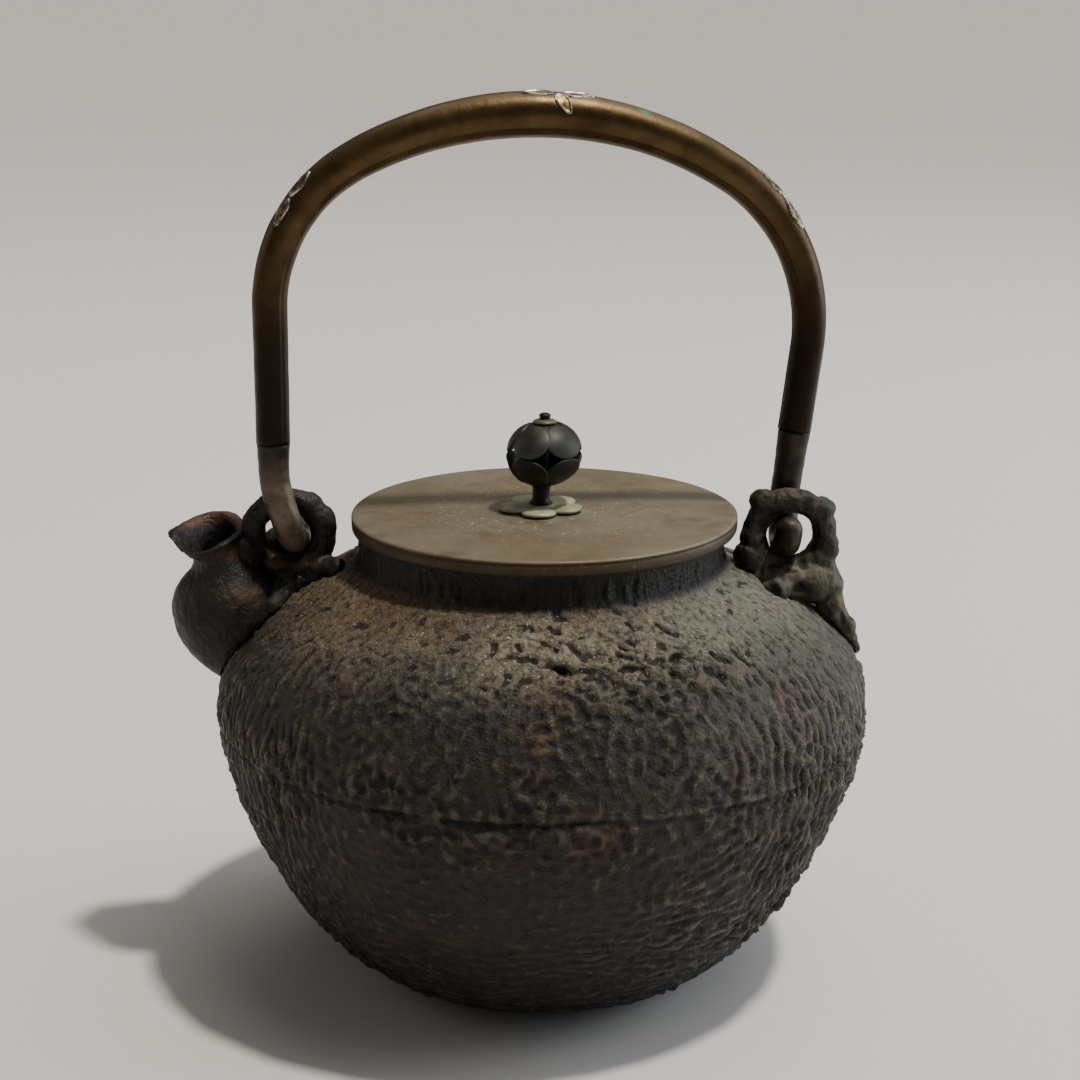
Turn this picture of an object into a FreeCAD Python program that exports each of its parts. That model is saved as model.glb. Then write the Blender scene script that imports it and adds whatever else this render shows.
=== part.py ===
"""Cast iron kettle with a lift-off bronze lid and a swinging bail handle.

Row frame: millimetres, +Z up, origin on the table under the middle of the base.
The spout points to -X and the bail handle stands over the X axis.
"""
import FreeCAD
import Part

import math
import os

V = FreeCAD.Vector
UP = V(0, 0, 1)

# ---------------------------------------------------------------- driving dimensions
# Kettle body
BODY_RADIUS = 85.0
BELLY_HEIGHT = 73.5          # height of the widest ring
BASE_RADIUS = 38.0           # flat that stands on the table
WALL = 3.2                   # iron wall
SHOULDER_HEIGHT = 110.1      # where the shoulder meets the neck collar
NECK_FOOT_RADIUS = 49.6
NECK_RADIUS = 47.6
NECK_BORE = 44.3
NECK_HEIGHT = 113.1          # where the collar turns straight up
RIM_HEIGHT = 119.2

# Lid
LID_RADIUS = 50.2
LID_BOTTOM = 119.5
LID_TOP = 123.5
FLANGE_RADIUS = 43.4         # ring under the lid that drops into the neck
FLANGE_WALL = 1.8
FLANGE_DEPTH = 8.5
EDGE_GROOVE = 0.3            # line turned into the lid's edge
RUNNING_FIT = 0.06           # radial clearance of the knob's pin in the lid
AXIAL_PLAY = 0.12            # end play of the riveted knob on the lid

# Knob: an openwork blossom ball riveted through the lid
BALL_RADIUS = 10.2
BALL_SQUASH = 0.84           # the ball is a little flattened from top to bottom
BALL_HEIGHT = 138.6
BALL_SHEET = 1.1
BALL_TOP = 146.5             # flat that carries the cap washer
BALL_FOOT = 130.7            # flat that sits on the stem
BALL_FLAT_RADIUS = 5.4       # plates that close the cups at the two flats
BALL_CORE_ANGLE = 30.0       # degrees; sheet left round each flat, between the petals
PETALS = 5
PETAL_ELEVATION = 33.0       # degrees above or below the ball's equator
PETAL_HALF_ANGLE = 33.0      # degrees
PETAL_CLOCKING = -49.0       # degrees; a gap between petals faces front
ROSETTE_RADIUS = 11.1
ROSETTE_THICK = 1.6
ROSETTE_CLOCKING = -95.0     # degrees; one petal of the rosette faces front
ROSETTE_PETAL = 0.37         # petal radius over the rosette's own
ROSETTE_CORE = 0.46          # middle disc's radius over the rosette's own
STEM_RADIUS = 2.2
PIN_RADIUS = 1.3
CAP_WASHER_RADIUS = 3.1
CAP_WASHER_THICK = 0.7
TAIL_WASHER_RADIUS = 4.0
TAIL_WASHER_THICK = 0.8

# Lug rings on the shoulder
LUG_REACH = {-1: 66.0, 1: 64.9}               # ring centre from the axis, left and right
LUG_HEIGHT = 117.0           # ring centre above the table
LUG_RING = 9.1               # centreline radius of the ring
LUG_BAR = 3.2                # radius of the ring's bar
SWELLING = 1.12              # knots of the lugs' limbs, over the limb's own radius
PEG_RADIUS = 3.0             # cast-in peg that keys the lug in the wall
PEG_LENGTH = 12.0
PEG_FOOT_HEIGHT = 98.4
PEG_LEAN = 33.5              # degrees off upright, square to the shoulder

# Bail handle
PIVOT_HEIGHT = LUG_HEIGHT + LUG_RING          # middle of the rings' top bars
HOOK_LOOP = 7.75             # hook centreline radius round the lug's bar
HOOK_DROP = 2.0              # the hook's loop is centred this far below the bar
HOOK_REACH = {-1: 65.9, 1: 64.3}              # loop's middle from the axis
HOOK_LEAN = {-1: 12.0, 1: 4.0}                # degrees that each loop leans inwards
HOOK_RADIUS = 3.9
HOOK_WRAP = 152.0            # degrees that each hook wraps round the bar
LEG_FOOT = {-1: 68.2, 1: 64.9}                # straight leg's foot from the axis
LEG_FOOT_HEIGHT = 131.0
ARCH_TOP = 224.5             # centreline of the tube at the crown
ARCH_SHIFT = -2.5            # the hand-bent crown peaks a little to the left
CROWN_BEND = 94.0            # centreline radius over the crown
CROWN_SWEEP = {-1: 27.5, 1: 33.0}             # degrees of crown on each side
HAUNCH_BEND = {-1: 41.5, 1: 46.5}             # tighter centreline radius at each side
TUBE_RADIUS_CROWN = 5.8
TUBE_RADIUS_END = 4.3
TUBE_WALL = 1.2
TUBE_END_HEIGHT = 143.0
ARCH_SHARE = 0.82            # share of the tube's taper that lies in the curved part
SHANK_FIT = 0.15             # the shank is this much slimmer than the tube's end
SPIGOT_LENGTH = 14.0
SPIGOT_FIT = 0.1             # the spigot is this much slimmer than the tube's bore
SHANK_NECK_HEIGHT = 137.0    # below this the shank is as slim as the hook
SEAM_WIDTH = 0.4             # open seam along the tube's inner side
INLAY_PROUD = 0.35
INLAY_DEPTH = 0.5
INLAY_BUD = 1.1              # radius of the round bud that joins an inlay's leaves

# Spout: height, middle's distance from the axis, half length, half width
SPOUT_SECTIONS = [
    (78.0, 76.5, 7.0, 9.0),
    (86.0, 79.3, 13.6, 15.0),
    (97.0, 81.5, 15.6, 17.0),
    (105.0, 81.9, 12.4, 14.6),
    (111.0, 82.4, 8.7, 11.2),
    (114.4, 84.4, 8.5, 11.0),
    (118.2, 86.9, 9.5, 12.2),
]
SPOUT_WALL = 2.6


# ---------------------------------------------------------------- helpers
def turned(outline):
    """Solid of revolution about Z from (radius, height) corners."""
    points = [V(r, 0, z) for r, z in outline]
    face = Part.Face(Part.makePolygon(points + points[:1]))
    return face.revolve(V(0, 0, 0), UP, 360)


def disc(radius, bottom, top, x=0.0, y=0.0):
    return Part.makeCylinder(radius, top - bottom, V(x, y, bottom))


def fused(shapes):
    body = shapes[0]
    for shape in shapes[1:]:
        body = body.fuse(shape)
    return body.removeSplitter()


def frame_at(point, direction, across):
    """Placement at point with its Z along direction and its X as near to across as can be."""
    z = V(direction).normalize()
    x = (across - z * across.dot(z)).normalize()
    y = z.cross(x)
    return FreeCAD.Placement(FreeCAD.Matrix(x.x, y.x, z.x, point.x,
                                            x.y, y.y, z.y, point.y,
                                            x.z, y.z, z.z, point.z,
                                            0, 0, 0, 1))


def ring_wire(point, direction, radius, across):
    wire = Part.Wire(Part.makeCircle(radius))
    wire.Placement = frame_at(point, direction, across)
    return wire


def round_bar(stations, across, straight=False):
    """Loft through (point, direction, radius) stations, smooth or straight between them."""
    bar = Part.makeLoft([ring_wire(*station, across) for station in stations], True, straight)
    if bar.Volume < 0:
        bar.reverse()
    return bar


def limb(points, radii):
    """A knotty cast branch: round bars between points, with a swelling at each point."""
    pieces = []
    for i in range(len(points) - 1):
        run = points[i + 1] - points[i]
        pieces.append(Part.makeCone(radii[i], radii[i + 1], run.Length, points[i], run))
    for point, radius in zip(points, radii):
        pieces.append(Part.makeSphere(radius * SWELLING, point))
    return fused(pieces)


def export(shape, node):
    solids = shape.Solids
    if len(solids) == 1:
        shape = solids[0]
    else:
        shape = Part.makeCompound(solids)
    shape.exportStep("parts/" + node + ".step")
    print("%-22s solids %d valid %s volume %.1f" % (node, len(solids), shape.isValid(), shape.Volume))


# ---------------------------------------------------------------- kettle body
BODY_OUTLINE = [
    (BASE_RADIUS, 0.0),
    (50.0, 5.5),
    (63.8, 19.6),
    (75.9, 39.5),
    (82.8, 58.0),
    (BODY_RADIUS, BELLY_HEIGHT),
    (82.7, 85.6),
    (73.6, 96.0),
    (60.6, 104.4),
    (NECK_FOOT_RADIUS, SHOULDER_HEIGHT),
]


def body_curve():
    curve = Part.BSplineCurve()
    curve.interpolate([V(r, 0, z) for r, z in BODY_OUTLINE])
    return curve


def inner_curve():
    """The body's outline set in by the wall, for the water space."""
    outer = body_curve()
    first, last = outer.FirstParameter, outer.LastParameter
    points = []
    steps = 12
    for i in range(steps + 1):
        t = first + (last - first) * i / steps
        along = outer.tangent(t)[0]
        inward = V(-along.z, 0, along.x)
        spot = outer.value(t) + inward * WALL
        if spot.z > WALL:
            points.append(spot)
    points.insert(0, V(BASE_RADIUS - 2.0, 0, WALL))
    curve = Part.BSplineCurve()
    curve.interpolate(points)
    return curve, points


def revolved_profile(edges):
    """Solid of revolution about Z; its surfaces start and end at the back, clear of the lugs."""
    solid = Part.Face(Part.Wire(edges)).revolve(V(0, 0, 0), UP, 360)
    return solid.rotated(V(0, 0, 0), UP, 90)


def body_envelope():
    """The solid outer form, with no water space."""
    curve = body_curve()
    start = curve.value(curve.FirstParameter)
    end = curve.value(curve.LastParameter)
    corners = [end, V(NECK_RADIUS, 0, NECK_HEIGHT), V(NECK_RADIUS, 0, RIM_HEIGHT),
               V(0, 0, RIM_HEIGHT), V(0, 0, 0), start]
    edges = [curve.toShape()]
    for a, b in zip(corners, corners[1:]):
        edges.append(Part.LineSegment(a, b).toShape())
    return revolved_profile(edges)


def water_space():
    curve, points = inner_curve()
    corners = [points[-1], V(NECK_BORE, 0, SHOULDER_HEIGHT - 1.0), V(NECK_BORE, 0, RIM_HEIGHT + 1.0),
               V(0, 0, RIM_HEIGHT + 1.0), V(0, 0, WALL), points[0]]
    edges = [curve.toShape()]
    for a, b in zip(corners, corners[1:]):
        edges.append(Part.LineSegment(a, b).toShape())
    return revolved_profile(edges)


# ---------------------------------------------------------------- spout
def ellipse_wire(height, reach, half_length, half_width):
    long_side = max(half_length, half_width)
    short_side = min(half_length, half_width)
    axis = V(0, 1, 0) if half_width >= half_length else V(1, 0, 0)
    centre = V(-reach, 0, height)
    across = UP.cross(axis)
    shape = Part.Ellipse(centre + axis * long_side, centre + across * short_side, centre)
    return Part.Wire(shape.toShape())


def spout_outer():
    return Part.makeLoft([ellipse_wire(*row) for row in SPOUT_SECTIONS], True, False)


def spout_duct():
    """The water way: the outer form set in by the spout's wall, open at the mouth."""
    wires = []
    for height, reach, half_length, half_width in SPOUT_SECTIONS[1:]:
        wires.append(ellipse_wire(height, reach, half_length - SPOUT_WALL, half_width - SPOUT_WALL))
    duct = Part.makeLoft(wires, True, False)
    top_height, reach, half_length, half_width = SPOUT_SECTIONS[-1]
    wire = ellipse_wire(top_height - 0.01, reach, half_length - SPOUT_WALL, half_width - SPOUT_WALL)
    return duct.fuse(Part.Face(wire).extrude(V(0, 0, 3.0)))


# ---------------------------------------------------------------- lugs
def lug_ring(side):
    return Part.makeTorus(LUG_RING, LUG_BAR, V(side * LUG_REACH[side], 0, LUG_HEIGHT), V(0, 1, 0))


def lug_peg(side):
    """Round peg down through the wall under the ring."""
    foot = V(side * (LUG_REACH[side] - 1.0), 0, PEG_FOOT_HEIGHT)
    lean = math.radians(PEG_LEAN)
    return Part.makeCylinder(PEG_RADIUS, PEG_LENGTH, foot, V(side * math.sin(lean), 0, math.cos(lean)))


def right_lug_limbs():
    """Cut-branch stubs beside the ring and the long root that runs down the shoulder."""
    root = limb([V(73.4, 0, 110.5), V(75.6, -1.0, 103.5), V(76.2, -2.0, 97.6), V(80.2, -1.0, 91.8),
                 V(82.4, 0.4, 85.8)], [3.4, 3.3, 3.5, 2.8, 2.1])
    stub_by_lid = limb([V(57.6, -1.0, 108.5), V(53.4, -2.0, 111.4)], [3.2, 3.3])
    front_stub = limb([V(67.0, -2.5, 104.5), V(61.0, -7.5, 104.6)], [3.4, 2.9])
    saddle = limb([V(58.5, 0, 105.0), V(66.0, 0, 102.8), V(74.0, 0, 101.5)], [3.6, 4.0, 3.6])
    return [root, stub_by_lid, front_stub, saddle]


def left_lug_limbs():
    """Roots that tie the ring to the shoulder beside the spout."""
    inner_root = limb([V(-57.6, -1.0, 108.5), V(-53.0, -4.0, 108.6)], [3.2, 2.8])
    front_root = limb([V(-67.0, -2.0, 104.5), V(-69.5, -9.0, 99.5)], [3.5, 2.9])
    saddle = limb([V(-58.5, 0, 105.0), V(-66.0, 0, 102.8), V(-73.0, 0, 100.5)], [3.6, 4.0, 3.4])
    return [inner_root, front_root, saddle]


# ---------------------------------------------------------------- bail handle
HANDLE_TURN = math.atan2(HOOK_LOOP, LEG_FOOT[1])     # the arch stands askew by this angle


class Haunch:
    """One side of the arch: crown arc, haunch arc and straight leg, each tangent to the next."""

    def __init__(self, side):
        self.side = side
        self.sweep = math.radians(CROWN_SWEEP[side])
        self.bend = HAUNCH_BEND[side]
        self.shift = ARCH_SHIFT * side
        self.reach = self.shift + (CROWN_BEND - self.bend) * math.sin(self.sweep)
        self.height = ARCH_TOP - CROWN_BEND + (CROWN_BEND - self.bend) * math.cos(self.sweep)
        out = LEG_FOOT[side] / math.cos(HANDLE_TURN) - self.reach
        drop = self.height - LEG_FOOT_HEIGHT
        self.lean = math.atan2(drop, out) - math.acos(self.bend / math.hypot(out, drop))
        self.full = math.pi / 2 + self.lean

    def arc(self, angle):
        """(u, z) where the centreline has turned by angle from the crown."""
        if angle <= self.sweep:
            return (self.side * (self.shift + CROWN_BEND * math.sin(angle)),
                    ARCH_TOP - CROWN_BEND + CROWN_BEND * math.cos(angle))
        return (self.side * (self.reach + self.bend * math.sin(angle)),
                self.height + self.bend * math.cos(angle))

    def leg(self, height):
        """(u, z) of the straight leg's centreline at a height."""
        u, z = self.arc(self.full)
        return u - self.side * (z - height) * math.tan(self.lean), height

    def down(self):
        return arch_direction(-self.side * math.sin(self.lean), -math.cos(self.lean))


def arch_point(u, z, v=0.0):
    """A point of the arch's own upright plane (u across, z up, v out of it) in the row frame."""
    across = V(math.cos(HANDLE_TURN), math.sin(HANDLE_TURN), 0)
    normal = V(-math.sin(HANDLE_TURN), math.cos(HANDLE_TURN), 0)
    return across * u + normal * v + UP * z


def arch_direction(du, dz):
    return arch_point(du, dz)


HAUNCHES = {side: Haunch(side) for side in (-1, 1)}


def arch_at(angle):
    """(u, z) of the centreline; angle runs from the left leg, through 0 at the crown, to the right."""
    return HAUNCHES[-1 if angle < 0 else 1].arc(abs(angle))


def tube_radius(share):
    """Outer radius; share runs from 0 at the crown to 1 at the tube's end."""
    return TUBE_RADIUS_CROWN + (TUBE_RADIUS_END - TUBE_RADIUS_CROWN) * math.sin(math.pi / 2 * share)


def arch_stations(change):
    """Stations of the tube from its left end to its right end, with the radius changed."""
    steps = 8
    halves = {}
    for side, haunch in HAUNCHES.items():
        half = []
        for i in range(1, steps + 1):
            angle = haunch.full * i / steps
            along = arch_direction(math.cos(angle), -side * math.sin(angle))
            half.append((arch_point(*haunch.arc(angle)), along, tube_radius(ARCH_SHARE * i / steps) + change))
        arch_foot = haunch.arc(haunch.full)[1]
        leg_steps = 4
        for i in range(1, leg_steps + 1):
            share = i / leg_steps
            height = arch_foot + (TUBE_END_HEIGHT - arch_foot) * share
            radius = tube_radius(ARCH_SHARE + (1 - ARCH_SHARE) * share) + change
            half.append((arch_point(*haunch.leg(height)), haunch.down() * side, radius))
        halves[side] = half
    crown = (arch_point(*arch_at(0.0)), arch_direction(1, 0), TUBE_RADIUS_CROWN + change)
    return halves[-1][::-1] + [crown] + halves[1]


def seam_slit():
    """Thin slab in the arch's plane, inside the centreline, that opens the rolled tube's seam."""
    left, right = HAUNCHES[-1], HAUNCHES[1]
    outline = [arch_point(*left.leg(TUBE_END_HEIGHT - 1.0))]
    steps = 24
    for i in range(steps + 1):
        outline.append(arch_point(*arch_at(-left.full + (left.full + right.full) * i / steps)))
    outline.append(arch_point(*right.leg(TUBE_END_HEIGHT - 1.0)))
    outline.append(outline[0])
    face = Part.Face(Part.makePolygon(outline))
    normal = arch_point(0, 0, 1.0)
    face.translate(normal * (-SEAM_WIDTH / 2))
    return face.extrude(normal * SEAM_WIDTH)


def handle_hook(side):
    """Solid hook: a spigot in the tube, a shank and a loop round the lug's bar.

    The left leg comes down in front of its lug and the right leg behind, so the two
    hooks are the same piece turned half round.
    """
    haunch = HAUNCHES[side]
    shank_top = arch_point(*haunch.leg(TUBE_END_HEIGHT))
    spigot_radius = TUBE_RADIUS_END - TUBE_WALL - SPIGOT_FIT
    spigot = Part.makeCylinder(spigot_radius, SPIGOT_LENGTH, shank_top - haunch.down() * SPIGOT_LENGTH,
                               haunch.down())
    stations = [(shank_top, haunch.down(), TUBE_RADIUS_END - SHANK_FIT)]
    for height in (SHANK_NECK_HEIGHT, LEG_FOOT_HEIGHT):
        stations.append((arch_point(*haunch.leg(height)), haunch.down(), HOOK_RADIUS))
    centre = V(side * HOOK_REACH[side], 0, PIVOT_HEIGHT - HOOK_DROP)
    lean = math.radians(HOOK_LEAN[side])
    low = V(-side * math.sin(lean), 0, -math.cos(lean))
    front = V(0, side, 0)
    steps = 14
    for i in range(steps + 1):
        turn = math.radians(HOOK_WRAP) * i / steps
        spot = centre + (front * math.cos(turn) + low * math.sin(turn)) * HOOK_LOOP
        along = low * math.cos(turn) - front * math.sin(turn)
        stations.append((spot, along, HOOK_RADIUS))
    bar = round_bar(stations, V(1, 0, 0), straight=True)
    tip = Part.makeSphere(HOOK_RADIUS, spot, along, 0, 90, 360)
    return fused([spigot, bar, tip])


# ---------------------------------------------------------------- inlays on the handle
def leaf(length, width):
    """Pointed leaf outline along +X from the origin."""
    tip = V(length, 0, 0)
    upper = Part.Arc(V(0, 0, 0), V(length * 0.45, width / 2, 0), tip).toShape()
    lower = Part.Arc(tip, V(length * 0.45, -width / 2, 0), V(0, 0, 0)).toShape()
    return Part.Face(Part.Wire([upper, lower]))


def sprig(leaves, centre, along, outward):
    """Leaf-shaped prisms round a bud, aimed through the tube's surface; leaves are
    (angle, length, width)."""
    prisms = [Part.makeCylinder(INLAY_BUD, 12.0)]
    for angle, length, width in leaves:
        face = leaf(length, width)
        face.rotate(V(0, 0, 0), UP, angle)
        prisms.append(face.extrude(V(0, 0, 12.0)))
    cutter = fused(prisms)
    cutter.Placement = frame_at(centre, outward, along)
    return cutter


def inlay(leaves, angle, lift, shift=0.0):
    """Leaf inlay where the tube has turned by angle; lift tips it from the front to the outside."""
    turned_by = math.radians(angle)
    centre = arch_point(*arch_at(turned_by))
    along = arch_direction(math.cos(turned_by), -math.sin(turned_by))
    outside = arch_direction(math.sin(turned_by), math.cos(turned_by))
    front = arch_point(0, 0, -1.0)
    outward = outside * math.sin(math.radians(lift)) + front * math.cos(math.radians(lift))
    return sprig(leaves, centre + along * shift, along, outward)


# ---------------------------------------------------------------- knob
def petal_cup(sign):
    """Upper (+1) or lower (-1) cup of the ball: sheet cut into petals and raised round."""
    origin = V(0, 0, 0)
    shell = Part.makeSphere(BALL_RADIUS).cut(Part.makeSphere(BALL_RADIUS - BALL_SHEET))
    reach = BALL_RADIUS * 1.3
    elevation = math.radians(PETAL_ELEVATION) * sign
    aims = [(UP * sign, BALL_CORE_ANGLE)]
    for i in range(PETALS):
        azimuth = math.radians(PETAL_CLOCKING + 360.0 * i / PETALS)
        aims.append((V(math.cos(azimuth) * math.cos(elevation), math.sin(azimuth) * math.cos(elevation),
                       math.sin(elevation)), PETAL_HALF_ANGLE))
    petals = []
    for aim, half_angle in aims:
        cone = Part.makeCone(0.02, reach * math.tan(math.radians(half_angle)), reach, origin, aim)
        petals.append(shell.common(cone))
    flatten = FreeCAD.Matrix()
    flatten.scale(1, 1, BALL_SQUASH)
    lift = V(0, 0, BALL_HEIGHT)
    cup = fused(petals).transformGeometry(flatten).translated(lift)
    ball = Part.makeSphere(BALL_RADIUS - 0.02).transformGeometry(flatten).translated(lift)
    plate_bottom = BALL_TOP - BALL_SHEET if sign > 0 else BALL_FOOT
    plate = disc(BALL_FLAT_RADIUS, plate_bottom, plate_bottom + BALL_SHEET).common(ball)
    cup = cup.common(disc(BALL_RADIUS * 1.2, BALL_FOOT, BALL_TOP))
    return fused([cup, plate]).cut(disc(PIN_RADIUS, BALL_FOOT - 1, BALL_TOP + 1))


def main():
    os.makedirs("parts", exist_ok=True)

    envelope = body_envelope()
    duct = spout_duct()
    spout_form = spout_outer()
    pegs = {side: lug_peg(side) for side in (-1, 1)}
    inner = water_space()

    body = envelope.cut(inner).cut(duct)
    wall_pegs = {}
    for side in (-1, 1):
        wall_pegs[side] = pegs[side].common(body)
        body = body.cut(pegs[side])
    export(body, "kettle_body")

    export(spout_form.cut(envelope).cut(duct), "spout")

    limbs = {-1: left_lug_limbs(), 1: right_lug_limbs()}
    names = {-1: "left_lug", 1: "right_lug"}
    for side in (-1, 1):
        lug = fused([lug_ring(side)] + limbs[side]).cut(envelope).cut(spout_form)
        lug = lug.fuse(wall_pegs[side]).removeSplitter()
        export(lug, names[side])

    lid = turned([(PIN_RADIUS + RUNNING_FIT, LID_BOTTOM), (LID_RADIUS - 0.6, LID_BOTTOM),
                  (LID_RADIUS, LID_BOTTOM + 0.6), (LID_RADIUS, LID_TOP - 1.5),
                  (LID_RADIUS - EDGE_GROOVE, LID_TOP - 1.35), (LID_RADIUS - EDGE_GROOVE, LID_TOP - 1.15),
                  (LID_RADIUS, LID_TOP - 1.0), (LID_RADIUS, LID_TOP - 0.4),
                  (LID_RADIUS - 0.4, LID_TOP), (PIN_RADIUS + RUNNING_FIT, LID_TOP)])
    export(lid, "lid_plate")
    flange = disc(FLANGE_RADIUS, LID_BOTTOM - FLANGE_DEPTH, LID_BOTTOM)
    flange = flange.cut(disc(FLANGE_RADIUS - FLANGE_WALL, LID_BOTTOM - FLANGE_DEPTH - 1, LID_BOTTOM + 1))
    export(flange, "lid_flange")

    rosette_bottom = LID_TOP + AXIAL_PLAY
    rosette_top = rosette_bottom + ROSETTE_THICK
    petal_radius = ROSETTE_RADIUS * ROSETTE_PETAL
    rosette = [disc(ROSETTE_RADIUS * ROSETTE_CORE, rosette_bottom, rosette_top)]
    for i in range(PETALS):
        angle = math.radians(ROSETTE_CLOCKING + 360.0 * i / PETALS)
        reach = ROSETTE_RADIUS - petal_radius
        rosette.append(disc(petal_radius, rosette_bottom, rosette_top,
                            reach * math.cos(angle), reach * math.sin(angle)))
    export(fused(rosette).cut(disc(PIN_RADIUS, rosette_bottom - 1, rosette_top + 1)), "knob_rosette")

    stem = turned([(PIN_RADIUS, rosette_top), (STEM_RADIUS + 0.9, rosette_top),
                   (STEM_RADIUS, rosette_top + 1.2), (STEM_RADIUS, BALL_FOOT - 0.8),
                   (STEM_RADIUS + 0.7, BALL_FOOT), (PIN_RADIUS, BALL_FOOT)])
    export(stem, "knob_stem")

    for sign, node in ((-1, "knob_lower_petals"), (1, "knob_upper_petals")):
        export(petal_cup(sign), node)

    washer_top = BALL_TOP + CAP_WASHER_THICK
    cap_washer = disc(CAP_WASHER_RADIUS, BALL_TOP, washer_top)
    export(cap_washer.cut(disc(PIN_RADIUS, BALL_TOP - 1, washer_top + 1)), "knob_cap_washer")

    tail_washer_top = LID_BOTTOM - AXIAL_PLAY
    tail_washer_bottom = tail_washer_top - TAIL_WASHER_THICK
    tail = tail_washer_bottom - 1.0
    pin = turned([(0, tail), (PIN_RADIUS + 0.5, tail), (PIN_RADIUS + 0.9, tail_washer_bottom - 0.3),
                  (PIN_RADIUS + 0.9, tail_washer_bottom), (PIN_RADIUS, tail_washer_bottom),
                  (PIN_RADIUS, washer_top), (PIN_RADIUS + 0.4, washer_top),
                  (PIN_RADIUS + 0.2, washer_top + 1.3), (0, washer_top + 1.7)])
    export(pin, "knob_pin")
    tail_washer = disc(TAIL_WASHER_RADIUS, tail_washer_bottom, tail_washer_top)
    tail_washer = tail_washer.cut(disc(PIN_RADIUS, tail_washer_bottom - 1, tail_washer_top + 1))
    export(tail_washer, "knob_tail_washer")

    arch_normal = arch_point(0, 0, 1.0)
    outer_tube = round_bar(arch_stations(0.0), arch_normal)
    proud_tube = round_bar(arch_stations(INLAY_PROUD), arch_normal)
    sunk_tube = round_bar(arch_stations(-INLAY_DEPTH), arch_normal)
    tube = outer_tube.cut(round_bar(arch_stations(-TUBE_WALL), arch_normal)).cut(seam_slit())
    skin = proud_tube.cut(sunk_tube)
    inlays = {
        "inlay_top": inlay([(8, 9.5, 3.4), (172, 9.5, 3.4), (-62, 6.0, 3.0)], 5.0, 62.0),
        "inlay_left": inlay([(10, 8.5, 3.2), (190, 8.0, 3.4)], -42.0, 50.0),
        "inlay_right": inlay([(-8, 9.0, 3.4), (172, 8.5, 3.2)], 46.0, 60.0),
    }
    for node, prism in inlays.items():
        piece = skin.common(prism)
        tube = tube.cut(piece)
        export(piece, node)
    export(tube, "handle_tube")
    export(handle_hook(-1), "hook_left")
    export(handle_hook(1), "hook_right")


main()
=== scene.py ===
"""The looks of the cast iron kettle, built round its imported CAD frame.

Shapes are worked out in millimetres in the row frame (spout to -X, front to -Y, +Z up) and
turned into metres as each mesh is made.
"""
import math

import bpy
import numpy as np
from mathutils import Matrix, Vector
from mathutils.bvhtree import BVHTree


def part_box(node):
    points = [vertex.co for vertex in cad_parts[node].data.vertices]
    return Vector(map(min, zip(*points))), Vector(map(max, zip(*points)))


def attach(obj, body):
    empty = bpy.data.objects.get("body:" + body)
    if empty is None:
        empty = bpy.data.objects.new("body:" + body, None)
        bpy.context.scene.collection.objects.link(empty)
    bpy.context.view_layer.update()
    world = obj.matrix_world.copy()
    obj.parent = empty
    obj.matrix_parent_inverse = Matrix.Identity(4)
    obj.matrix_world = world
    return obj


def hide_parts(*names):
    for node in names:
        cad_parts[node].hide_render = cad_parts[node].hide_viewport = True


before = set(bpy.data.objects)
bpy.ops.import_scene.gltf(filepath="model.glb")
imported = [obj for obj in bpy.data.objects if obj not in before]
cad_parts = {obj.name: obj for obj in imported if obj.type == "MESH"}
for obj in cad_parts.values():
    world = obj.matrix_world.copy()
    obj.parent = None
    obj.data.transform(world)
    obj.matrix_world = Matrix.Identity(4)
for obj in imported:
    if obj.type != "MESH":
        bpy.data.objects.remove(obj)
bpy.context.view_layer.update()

MM = 0.001
FRONT = -90.0                 # azimuth that faces the camera, degrees from +X


# ---------------------------------------------------------------- noise and fields
def corner_value(ix, iy, iz, seed):
    """A repeatable value from -1 to 1 for each lattice corner."""
    h = (ix * 73856093) ^ (iy * 19349663) ^ (iz * 83492791) ^ (seed * 2654435761)
    h = (h ^ (h >> 13)) * 1274126177 & 0x7FFFFFFF
    h = (h ^ (h >> 16)) & 0xFFFF
    return h / 32767.5 - 1.0


def noise(points, size, seed):
    """Smooth 3-D value noise from -1 to 1; size is the lattice pitch in mm, one number or three."""
    q = points / np.asarray(size, float) + 100.0
    cell = np.floor(q).astype(np.int64)
    f = q - cell
    f = f * f * f * (f * (f * 6 - 15) + 10)
    total = np.zeros(len(points))
    for dx in (0, 1):
        for dy in (0, 1):
            for dz in (0, 1):
                share = (np.abs(1 - dx - f[:, 0]) * np.abs(1 - dy - f[:, 1]) * np.abs(1 - dz - f[:, 2]))
                total += share * corner_value(cell[:, 0] + dx, cell[:, 1] + dy, cell[:, 2] + dz, seed)
    return total


def fractal(points, size, octaves, seed):
    total = np.zeros(len(points))
    weight = 1.0
    size = np.asarray(size, float)
    for i in range(octaves):
        total += weight * noise(points, size / 2 ** i, seed + 31 * i)
        weight *= 0.5
    return total


def smoothstep(value, low, high):
    """0 to 1 as value goes from low to high, smoothly; low may be the larger."""
    t = np.clip((value - low) / (high - low), 0.0, 1.0)
    return t * t * (3 - 2 * t)


def bump(value, centre, half_width):
    """1 at centre, falling to 0 a half width away."""
    return np.exp(-((value - centre) / half_width) ** 2)


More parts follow.
